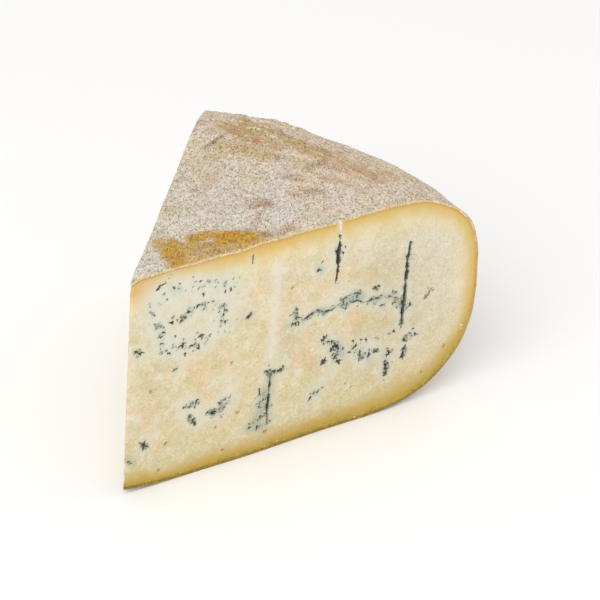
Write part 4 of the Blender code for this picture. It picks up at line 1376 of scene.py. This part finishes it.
    # Grain and dust are paler where the bump raises the rind and darker where it sinks: partly the rind's own
    # flecks and pores, partly painted light on the raised grain and painted shade in its hollows
    colour = lay_tints(tree, colour, (
        (grain, 0.53, 0.66, 0.6, "#e9e0d1"),
        (dust, 0.56, 0.69, 0.65, "#f1eade", bare),
        (part["olive"], 0, 1, 0.85, "#cbac6e", mottle),
        (part["tan"], 0, 1, 1, tan, mottle),
        (crisp, 0, 1, 1, ochre),
        (part["brown"], 0, 1, 0.8, "#ad8568", spots),
        (streak, 0.55, 0.68, 0.9, "#e8dcc6", outer),
        (streak, 0.45, 0.33, 0.65, "#ab8a5e", outer),
        (grain, 0.48, 0.36, 0.6, pore_and_shade),
        (dust, 0.45, 0.33, 0.85, "#7c694c", bare),
        (dust, 0.52, 0.4, 0.7, "#6f4f38", part["brown"]),
        (dust, 0.5, 0.36, 0.6, "#726839", part["olive"]),
        (grain, 0.49, 0.38, 0.5, "#8f6a20", crisp),
        (dust, 0.5, 0.38, 0.75, "#855f1c", crisp),
    ))

    edge = bare_edge(tree, wave, part["level"])
    colour = lay_tints(tree, colour, ((part["edge"], 0, 1, 1, edge),))
    height = add(tree, "ShaderNodeMath", {0: small, 1: 1.2, 2: grain}, operation="MULTIPLY_ADD")
    height = add(tree, "ShaderNodeMath", {0: dust, 1: 0.4, 2: height}, operation="MULTIPLY_ADD")
    shader = add(tree, "ShaderNodeBsdfPrincipled", {
        "Base Color": colour, "Roughness": 0.88, "IOR": 1.45, "Specular IOR Level": 0.2,
        "Normal": add(tree, "ShaderNodeBump", {"Height": height, "Strength": 0.8, "Distance": 0.9 * MM}),
        "Sheen Weight": 0.1, "Sheen Roughness": 0.6,
    })
    add(tree, "ShaderNodeOutputMaterial", {"Surface": shader})
    return material


def two_tone(name, dark, pale, size, start, end, finish):
    """A material of two tones that change over a size, in metres."""
    material, tree, here = start_material(name)
    tone = add(tree, "ShaderNodeTexNoise", {"Vector": here, "Scale": 1 / size, "Detail": 2.0})
    colour = lay_tints(tree, dark, ((tone, start, end, 1, pale),))
    shader = add(tree, "ShaderNodeBsdfPrincipled", {"Base Color": colour, **finish})
    add(tree, "ShaderNodeOutputMaterial", {"Surface": shader})
    return material


def crust_grains():
    """Dried grains of rind and mould dust: brittle, chalky and matt."""
    return two_tone("dried crust grains", "#b3a48f", "#d9cfbe", 1.5 * MM, 0.4, 0.6, {
        "Roughness": 0.92, "IOR": 1.45, "Specular IOR Level": 0.15,
    })


def torn_crumbs():
    """Crumbs of paste and rind, torn and dry at the edges: pale, waxy and matt."""
    return two_tone("torn cheese crumbs", "#d4b274", "#ebdab4", 1.2 * MM, 0.42, 0.6, {
        "Roughness": 0.7, "IOR": 1.44, "Specular IOR Level": 0.25,
    })


def blue_mould(colours):
    """Blue mould grown wild on the walls of the openings: velvety, dark green to blue-grey."""
    return two_tone("velvety blue mould", colours.mould, "#7f8b80", 1.1 * MM, 0.42, 0.68, {
        "Roughness": 0.95, "IOR": 1.45, "Specular IOR Level": 0.1,
        "Sheen Weight": 0.25, "Sheen Roughness": 0.7,
    })


def plain_floor():
    """A matt pale board under soft light."""
    return two_tone("matt pale floor", "#fbfaf9", "#fbfaf9", 1.0, 0.4, 0.6, {
        "Roughness": 0.9, "Specular IOR Level": 0.1,
    })


def node_group(name, inputs):
    """A geometry tree with named inputs."""
    tree = bpy.data.node_groups.new(name, "GeometryNodeTree")
    for label, kind in (("Geometry", "Geometry"), *inputs):
        tree.interface.new_socket(name=label, in_out="INPUT", socket_type="NodeSocket" + kind)
    tree.interface.new_socket(name="Geometry", in_out="OUTPUT", socket_type="NodeSocketGeometry")
    return tree, tree.nodes.new("NodeGroupInput")


def grown(host, tree, values):
    """The mesh that a geometry tree makes of an object, as a plain mesh."""
    modifier = host.modifiers.new(tree.name, "NODES")
    modifier.node_group = tree
    for item in tree.interface.items_tree:
        if item.in_out == "INPUT" and item.name in values:
            modifier[item.identifier] = values[item.name]
    bpy.context.view_layer.update()
    graph = bpy.context.evaluated_depsgraph_get()
    mesh = bpy.data.meshes.new_from_object(host.evaluated_get(graph), depsgraph=graph)
    host.modifiers.remove(modifier)
    return mesh


def finish_tree(tree, given, geometry):
    """Ends a geometry tree with plain, dressed meshes."""
    real = add(tree, "GeometryNodeRealizeInstances", {"Geometry": geometry})
    done = add(tree, "GeometryNodeSetMaterial", {"Geometry": real, "Material": given.outputs["Material"]})
    add(tree, "NodeGroupOutput", {"Geometry": done})
    return tree


def relief_tree():
    """Pushes the rind's outside in and out by lumps and grain, where it is free to."""
    tree, given = node_group("rind_relief", (
        ("Lump Size", "Float"), ("Lump Height", "Float"), ("Grain Size", "Float"), ("Grain Height", "Float"),
        ("Material", "Material"),
    ))
    place = add(tree, "GeometryNodeInputPosition")
    heights = []
    for kind, where in (("Lump", place), ("Grain", along_grain(tree, place))):
        scale = add(tree, "ShaderNodeMath", {0: 1.0, 1: given.outputs[kind + " Size"]}, operation="DIVIDE")
        wave = add(tree, "ShaderNodeTexNoise", {"Vector": where, "Scale": scale, "Detail": 2.0})
        centred = add(tree, "ShaderNodeMath", {0: wave, 1: 0.5}, operation="SUBTRACT")
        tall = given.outputs[kind + " Height"]
        heights.append(add(tree, "ShaderNodeMath", {0: centred, 1: tall}, operation="MULTIPLY"))
    total = add(tree, "ShaderNodeMath", {0: heights[0], 1: heights[1]})
    free = add(tree, "GeometryNodeInputNamedAttribute", {"Name": "free"}, data_type="FLOAT")
    amount = add(tree, "ShaderNodeMath", {0: total, 1: free}, operation="MULTIPLY")
    way = add(tree, "GeometryNodeInputNamedAttribute", {"Name": "outward"}, data_type="FLOAT_VECTOR")
    offset = add(tree, "ShaderNodeVectorMath", {0: way, "Scale": amount}, operation="SCALE")
    moved = add(tree, "GeometryNodeSetPosition", {"Geometry": given.outputs["Geometry"], "Offset": offset})
    return finish_tree(tree, given, moved)


def strewn_tree():
    """Strews small lumps over a surface, thickest where an attribute says."""
    tree, given = node_group("strewn_grains", (
        ("Share", "String"), ("Grains per m2", "Float"), ("Smallest", "Float"), ("Largest", "Float"),
        ("Flatness", "Float"), ("Sink", "Float"), ("Seed", "Int"), ("Material", "Material"),
    ))
    share = add(tree, "GeometryNodeInputNamedAttribute", {"Name": given.outputs["Share"]}, data_type="FLOAT")
    density = add(tree, "ShaderNodeMath", {0: share, 1: given.outputs["Grains per m2"]}, operation="MULTIPLY")
    spread = add(tree, "GeometryNodeDistributePointsOnFaces", {
        "Mesh": given.outputs["Geometry"], "Density": density, "Seed": given.outputs["Seed"],
    }).node
    size = add(tree, "FunctionNodeRandomValue", {
        2: given.outputs["Smallest"], 3: given.outputs["Largest"], "Seed": given.outputs["Seed"],
    }, out=1, data_type="FLOAT")
    sink = add(tree, "ShaderNodeMath", {0: size, 1: given.outputs["Sink"]}, operation="MULTIPLY")
    down = add(tree, "ShaderNodeVectorMath", {0: spread.outputs["Normal"], "Scale": sink}, operation="SCALE")
    lowered = add(tree, "ShaderNodeVectorMath", {0: down, 1: (-1, -1, -1)}, operation="MULTIPLY")
    points = add(tree, "GeometryNodeSetPosition", {"Geometry": spread.outputs["Points"], "Offset": lowered})
    stretch = add(tree, "FunctionNodeRandomValue", {
        0: (0.7, 0.7, 0.7), 1: (1.4, 1.0, 1.0), "Seed": 3,
    }, data_type="FLOAT_VECTOR")
    flat = add(tree, "ShaderNodeCombineXYZ", {0: 1.0, 1: 1.0, 2: given.outputs["Flatness"]})
    shape = add(tree, "ShaderNodeVectorMath", {0: stretch, 1: flat}, operation="MULTIPLY")
    scale = add(tree, "ShaderNodeVectorMath", {0: shape, "Scale": size}, operation="SCALE")
    turn = add(tree, "FunctionNodeRandomValue", {
        0: (0, 0, 0), 1: (0.5, 0.5, math.tau), "Seed": 7,
    }, data_type="FLOAT_VECTOR")
    turned = add(tree, "FunctionNodeEulerToRotation", {0: turn})
    spin = add(tree, "FunctionNodeRotateRotation", {
        "Rotation": spread.outputs["Rotation"], "Rotate By": turned,
    }, rotation_space="LOCAL")
    lump = add(tree, "GeometryNodeMeshIcoSphere", {"Radius": 0.5, "Subdivisions": 1})
    smooth = add(tree, "GeometryNodeSetShadeSmooth", {"Geometry": lump, "Shade Smooth": True})
    strewn = add(tree, "GeometryNodeInstanceOnPoints", {
        "Points": points, "Instance": smooth, "Rotation": spin, "Scale": scale,
    })
    return finish_tree(tree, given, strewn)


class CheeseSizes(bpy.types.PropertyGroup):
    """Sizes of the wedge's fine parts."""

    rind_thickness: FloatProperty(
        name="Rind thickness", description="How thick the rind shows at a cut",
        default=0.8 * MM, min=0.3 * MM, max=3 * MM, unit="LENGTH",
    )
    lump_height: FloatProperty(
        name="Rind lumps", description="Height of the rind's small lumps", default=0.8 * MM, unit="LENGTH",
    )
    grain_height: FloatProperty(
        name="Rind grain", description="Height of the rind's grain", default=0.5 * MM, unit="LENGTH",
    )
    crust_grain: FloatProperty(
        name="Crust grain", description="Largest loose grain of crust on the rind", default=1.3 * MM,
        unit="LENGTH",
    )
    crust_seed: IntProperty(name="Crust seed", description="Changes where the grains of crust lie", default=4)
    mould_grain: FloatProperty(
        name="Mould grain", description="Largest tuft of mould in a vein", default=0.5 * MM, unit="LENGTH",
    )
    mould_seed: IntProperty(name="Mould seed", description="Changes where the tufts of mould grow", default=9)


class CheeseColours(bpy.types.PropertyGroup):
    """Main colours of the wedge."""

    paste: FloatVectorProperty(
        name="Paste", description="The paste well inside the cheese", subtype="COLOR",
        default=linear("#dbd0a8"),
    )
    top_gold: FloatVectorProperty(
        name="Gold under the top", description="The paste just under the top rind", subtype="COLOR",
        default=linear("#e0b960"),
    )
    base_gold: FloatVectorProperty(
        name="Gold above the base", description="The paste just above the base", subtype="COLOR",
        default=linear("#c5a548"),
    )
    rind: FloatVectorProperty(
        name="Rind", description="The rind between its stains", subtype="COLOR", default=linear("#d6c9b7"),
    )
    rind_ochre: FloatVectorProperty(
        name="Ochre stain", description="Where the rind was rubbed or wet", subtype="COLOR",
        default=linear("#cd9a10"),
    )
    mould: FloatVectorProperty(
        name="Mould", description="The darkest mould", subtype="COLOR", default=linear("#3f4236"),
    )


class CHEESE_OT_paste(bpy.types.Operator):
    """Cuts the paste, with its veins, slits and pits"""

    bl_idname = "cheese.paste"
    bl_label = "Cut the paste"

    def execute(self, context):
        scene = context.scene
        paste = make_paste(scene.cheese_sizes, knife_cut_paste(scene.cheese_colours))
        hand_over(paste, "paste", NODE)
        return {"FINISHED"}


class CHEESE_OT_rind(bpy.types.Operator):
    """Grows the rind over the top, the heel and the base"""

    bl_idname = "cheese.rind"
    bl_label = "Grow the rind"

    def execute(self, context):
        scene = context.scene
        sizes = scene.cheese_sizes
        material = natural_rind(scene.cheese_colours)
        plain = make_rind(sizes, material)
        mesh = grown(plain, relief_tree(), {
            "Lump Size": 4.5 * MM, "Lump Height": sizes.lump_height,
            "Grain Size": 1.9 * MM, "Grain Height": sizes.grain_height, "Material": material,
        })
        bpy.data.objects.remove(plain)
        hand_over(add_piece("rind", mesh, material), "rind", NODE)
        return {"FINISHED"}


class CHEESE_OT_crust(bpy.types.Operator):
    """Strews dried grains of crust over the rind"""

    bl_idname = "cheese.crust"
    bl_label = "Strew the crust"

    def execute(self, context):
        scene = context.scene
        sizes = scene.cheese_sizes
        material = crust_grains()
        mesh = grown(bpy.data.objects["rind"], strewn_tree(), {
            "Share": "grains", "Grains per m2": 1.9e5, "Smallest": 0.5 * MM, "Largest": sizes.crust_grain,
            "Flatness": 0.62, "Sink": 0.12, "Seed": sizes.crust_seed, "Material": material,
        })
        hand_over(add_piece("crust_grains", mesh, material), "rind")
        return {"FINISHED"}


class CHEESE_OT_mould(bpy.types.Operator):
    """Grows tufts of blue mould in the veins and slits"""

    bl_idname = "cheese.mould"
    bl_label = "Grow the mould"

    def execute(self, context):
        scene = context.scene
        sizes = scene.cheese_sizes
        material = blue_mould(scene.cheese_colours)
        mesh = grown(bpy.data.objects["paste"], strewn_tree(), {
            "Share": "tufts", "Grains per m2": 4e6, "Smallest": 0.2 * MM, "Largest": sizes.mould_grain,
            "Flatness": 0.8, "Sink": 0.0, "Seed": sizes.mould_seed, "Material": material,
        })
        hand_over(add_piece("mould_tufts", mesh, material), "blue_mould")
        return {"FINISHED"}


def make_crumb_points():
    """Places of crumbs and torn flakes of rind on the two cuts, each with its size."""
    draw = random.Random(NIB_SEED)
    radii, heights, _, _ = outline(NIB_OUTLINE)
    spots = [(cut, *(MM * value for value in row)) for cut, rows in CRUMBS.items() for row in rows]
    for cut in (NEAR_CUT, FAR_CUT):
        for _ in range(NIBS_PER_CUT):
            i = draw.randrange(*NIB_RANGE)
            across = draw.uniform(*NIB_SIZES) * MM
            spots.append((cut, radii[i] - NIB_INSET[0] * MM, heights[i] - NIB_INSET[1] * MM, across))
    mesh = bpy.data.meshes.new("crumb_points")
    places = []
    for cut, along, above, across in spots:
        flat = round_axis(np.array([along]), CUT_ANGLES[cut], np.array([above]))
        wave = knife_wave(flat, np.array([along]))[0]
        places.append(tuple(flat[0] + facing(cut) * (wave - CRUMB_SINK * across) + np.array(TIP)))
    mesh.from_pydata(places, [], [])
    store(mesh, "size", [spot[3] for spot in spots])
    return mesh


def crumb_tree():
    """Sets a ragged lump on each point, as large as the point says."""
    tree, given = node_group("crumbs", (("Raggedness", "Float"), ("Seed", "Int"), ("Material", "Material")))
    lump = add(tree, "GeometryNodeMeshIcoSphere", {"Radius": 0.5, "Subdivisions": 2})
    smooth = add(tree, "GeometryNodeSetShadeSmooth", {"Geometry": lump, "Shade Smooth": True})
    turn = add(tree, "FunctionNodeRandomValue", {
        0: (0, 0, 0), 1: (math.tau, math.tau, math.tau), "Seed": given.outputs["Seed"],
    }, data_type="FLOAT_VECTOR")
    squash = add(tree, "FunctionNodeRandomValue", {
        0: (0.6, 0.5, 0.4), 1: (1.2, 1.0, 0.7), "Seed": 5,
    }, data_type="FLOAT_VECTOR")
    size = add(tree, "GeometryNodeInputNamedAttribute", {"Name": "size"}, data_type="FLOAT")
    scale = add(tree, "ShaderNodeVectorMath", {0: squash, "Scale": size}, operation="SCALE")
    set_out = add(tree, "GeometryNodeInstanceOnPoints", {
        "Points": given.outputs["Geometry"], "Instance": smooth, "Rotation": turn, "Scale": scale,
    })
    real = add(tree, "GeometryNodeRealizeInstances", {"Geometry": set_out})
    place = add(tree, "GeometryNodeInputPosition")
    rough = add(tree, "ShaderNodeTexNoise", {
        "Vector": place, "Scale": 1 / (0.7 * MM), "Detail": 1.0,
    }, out="Color")
    centred = add(tree, "ShaderNodeVectorMath", {0: rough, 1: (0.5, 0.5, 0.5)}, operation="SUBTRACT")
    offset = add(tree, "ShaderNodeVectorMath", {
        0: centred, "Scale": given.outputs["Raggedness"],
    }, operation="SCALE")
    ragged = add(tree, "GeometryNodeSetPosition", {"Geometry": real, "Offset": offset})
    return finish_tree(tree, given, ragged)


class CHEESE_OT_crumbs(bpy.types.Operator):
    """Leaves crumbs and torn flakes of rind along the cuts"""

    bl_idname = "cheese.crumbs"
    bl_label = "Leave the crumbs"

    def execute(self, context):
        material = torn_crumbs()
        host = add_piece("crumb_points", make_crumb_points(), material)
        mesh = grown(host, crumb_tree(), {"Raggedness": 0.5 * MM, "Seed": 2, "Material": material})
        bpy.data.objects.remove(host)
        hand_over(add_piece("paste_crumbs", mesh, material), "paste")
        return {"FINISHED"}


def add_lamp(name, way, distance, size, power):
    """A square soft light that shines at the wedge from a direction."""
    light = bpy.data.lights.new(name, "AREA")
    light.size = size
    light.energy = power
    lamp = add_object(name, light)
    way = Vector(way).normalized()
    lamp.location = CAMERA_AIM + way * distance
    lamp.rotation_euler = way.to_track_quat("Z", "Y").to_euler()


def add_camera():
    """The camera, at the photograph's angle."""
    azimuth, elevation = CAMERA_AZIMUTH, CAMERA_ELEVATION
    back = Vector((
        math.sin(azimuth) * math.cos(elevation),
        -math.cos(azimuth) * math.cos(elevation),
        math.sin(elevation),
    ))
    right = Vector((math.cos(azimuth), math.sin(azimuth), 0))
    turn = Matrix((right, back.cross(right), back)).transposed().to_4x4()
    camera = bpy.data.cameras.new("camera")
    camera.lens = CAMERA_LENS_MM
    camera.clip_start = 0.01
    eye = add_object("camera", camera)
    eye.matrix_world = (
        Matrix.Translation(CAMERA_AIM + back * CAMERA_DISTANCE) @ turn @ Matrix.Rotation(CAMERA_ROLL, 4, "Z")
    )
    bpy.context.scene.camera = eye


class CHEESE_OT_stage(bpy.types.Operator):
    """Sets up the floor, the soft light and the camera"""

    bl_idname = "cheese.stage"
    bl_label = "Set the stage"

    def execute(self, context):
        bm = bmesh.new()
        bmesh.ops.create_circle(bm, cap_ends=True, segments=96, radius=FLOOR_RADIUS)
        mesh = bpy.data.meshes.new("floor")
        bm.to_mesh(mesh)
        bm.free()
        add_piece("floor", mesh, plain_floor())
        world = bpy.data.worlds.new("soft room")
        world.use_nodes = True
        background = world.node_tree.nodes["Background"]
        background.inputs["Color"].default_value = (1, 1, 1, 1)
        background.inputs["Strength"].default_value = ROOM_LIGHT
        context.scene.world = world
        for lamp in LAMPS:
            add_lamp(*lamp)
        context.scene.view_settings.view_transform = "Standard"
        add_camera()
        return {"FINISHED"}


class CHEESE_PT_panel(bpy.types.Panel):
    """Lists the steps that dress the wedge"""

    bl_idname = "CHEESE_PT_panel"
    bl_label = "Blue cheese wedge"
    bl_space_type = "VIEW_3D"
    bl_region_type = "UI"
    bl_category = "Cheese"

    def draw(self, context):
        for group in (context.scene.cheese_sizes, context.scene.cheese_colours):
            for name in group.bl_rna.properties.keys():
                if name not in ("rna_type", "name"):
                    self.layout.prop(group, name)
        for operator in OPERATORS:
            self.layout.operator(operator.bl_idname)


OPERATORS = (
    CHEESE_OT_stage, CHEESE_OT_paste, CHEESE_OT_rind, CHEESE_OT_crust, CHEESE_OT_mould, CHEESE_OT_crumbs,
)
CLASSES = (CheeseSizes, CheeseColours, *OPERATORS, CHEESE_PT_panel)


def register():
    """Makes the panel, the operators and the settings known to Blender."""
    for item in CLASSES:
        bpy.utils.register_class(item)
    bpy.types.Scene.cheese_sizes = PointerProperty(type=CheeseSizes)
    bpy.types.Scene.cheese_colours = PointerProperty(type=CheeseColours)


def unregister():
    """Takes them away again."""
    del bpy.types.Scene.cheese_colours
    del bpy.types.Scene.cheese_sizes
    for item in reversed(CLASSES):
        bpy.utils.unregister_class(item)


def main():
    """Dresses the wedge."""
    register()
    bpy.ops.cheese.stage()
    bpy.ops.cheese.paste()
    bpy.ops.cheese.rind()
    bpy.ops.cheese.crust()
    bpy.ops.cheese.mould()
    bpy.ops.cheese.crumbs()


if __name__ == "__main__":
    main()
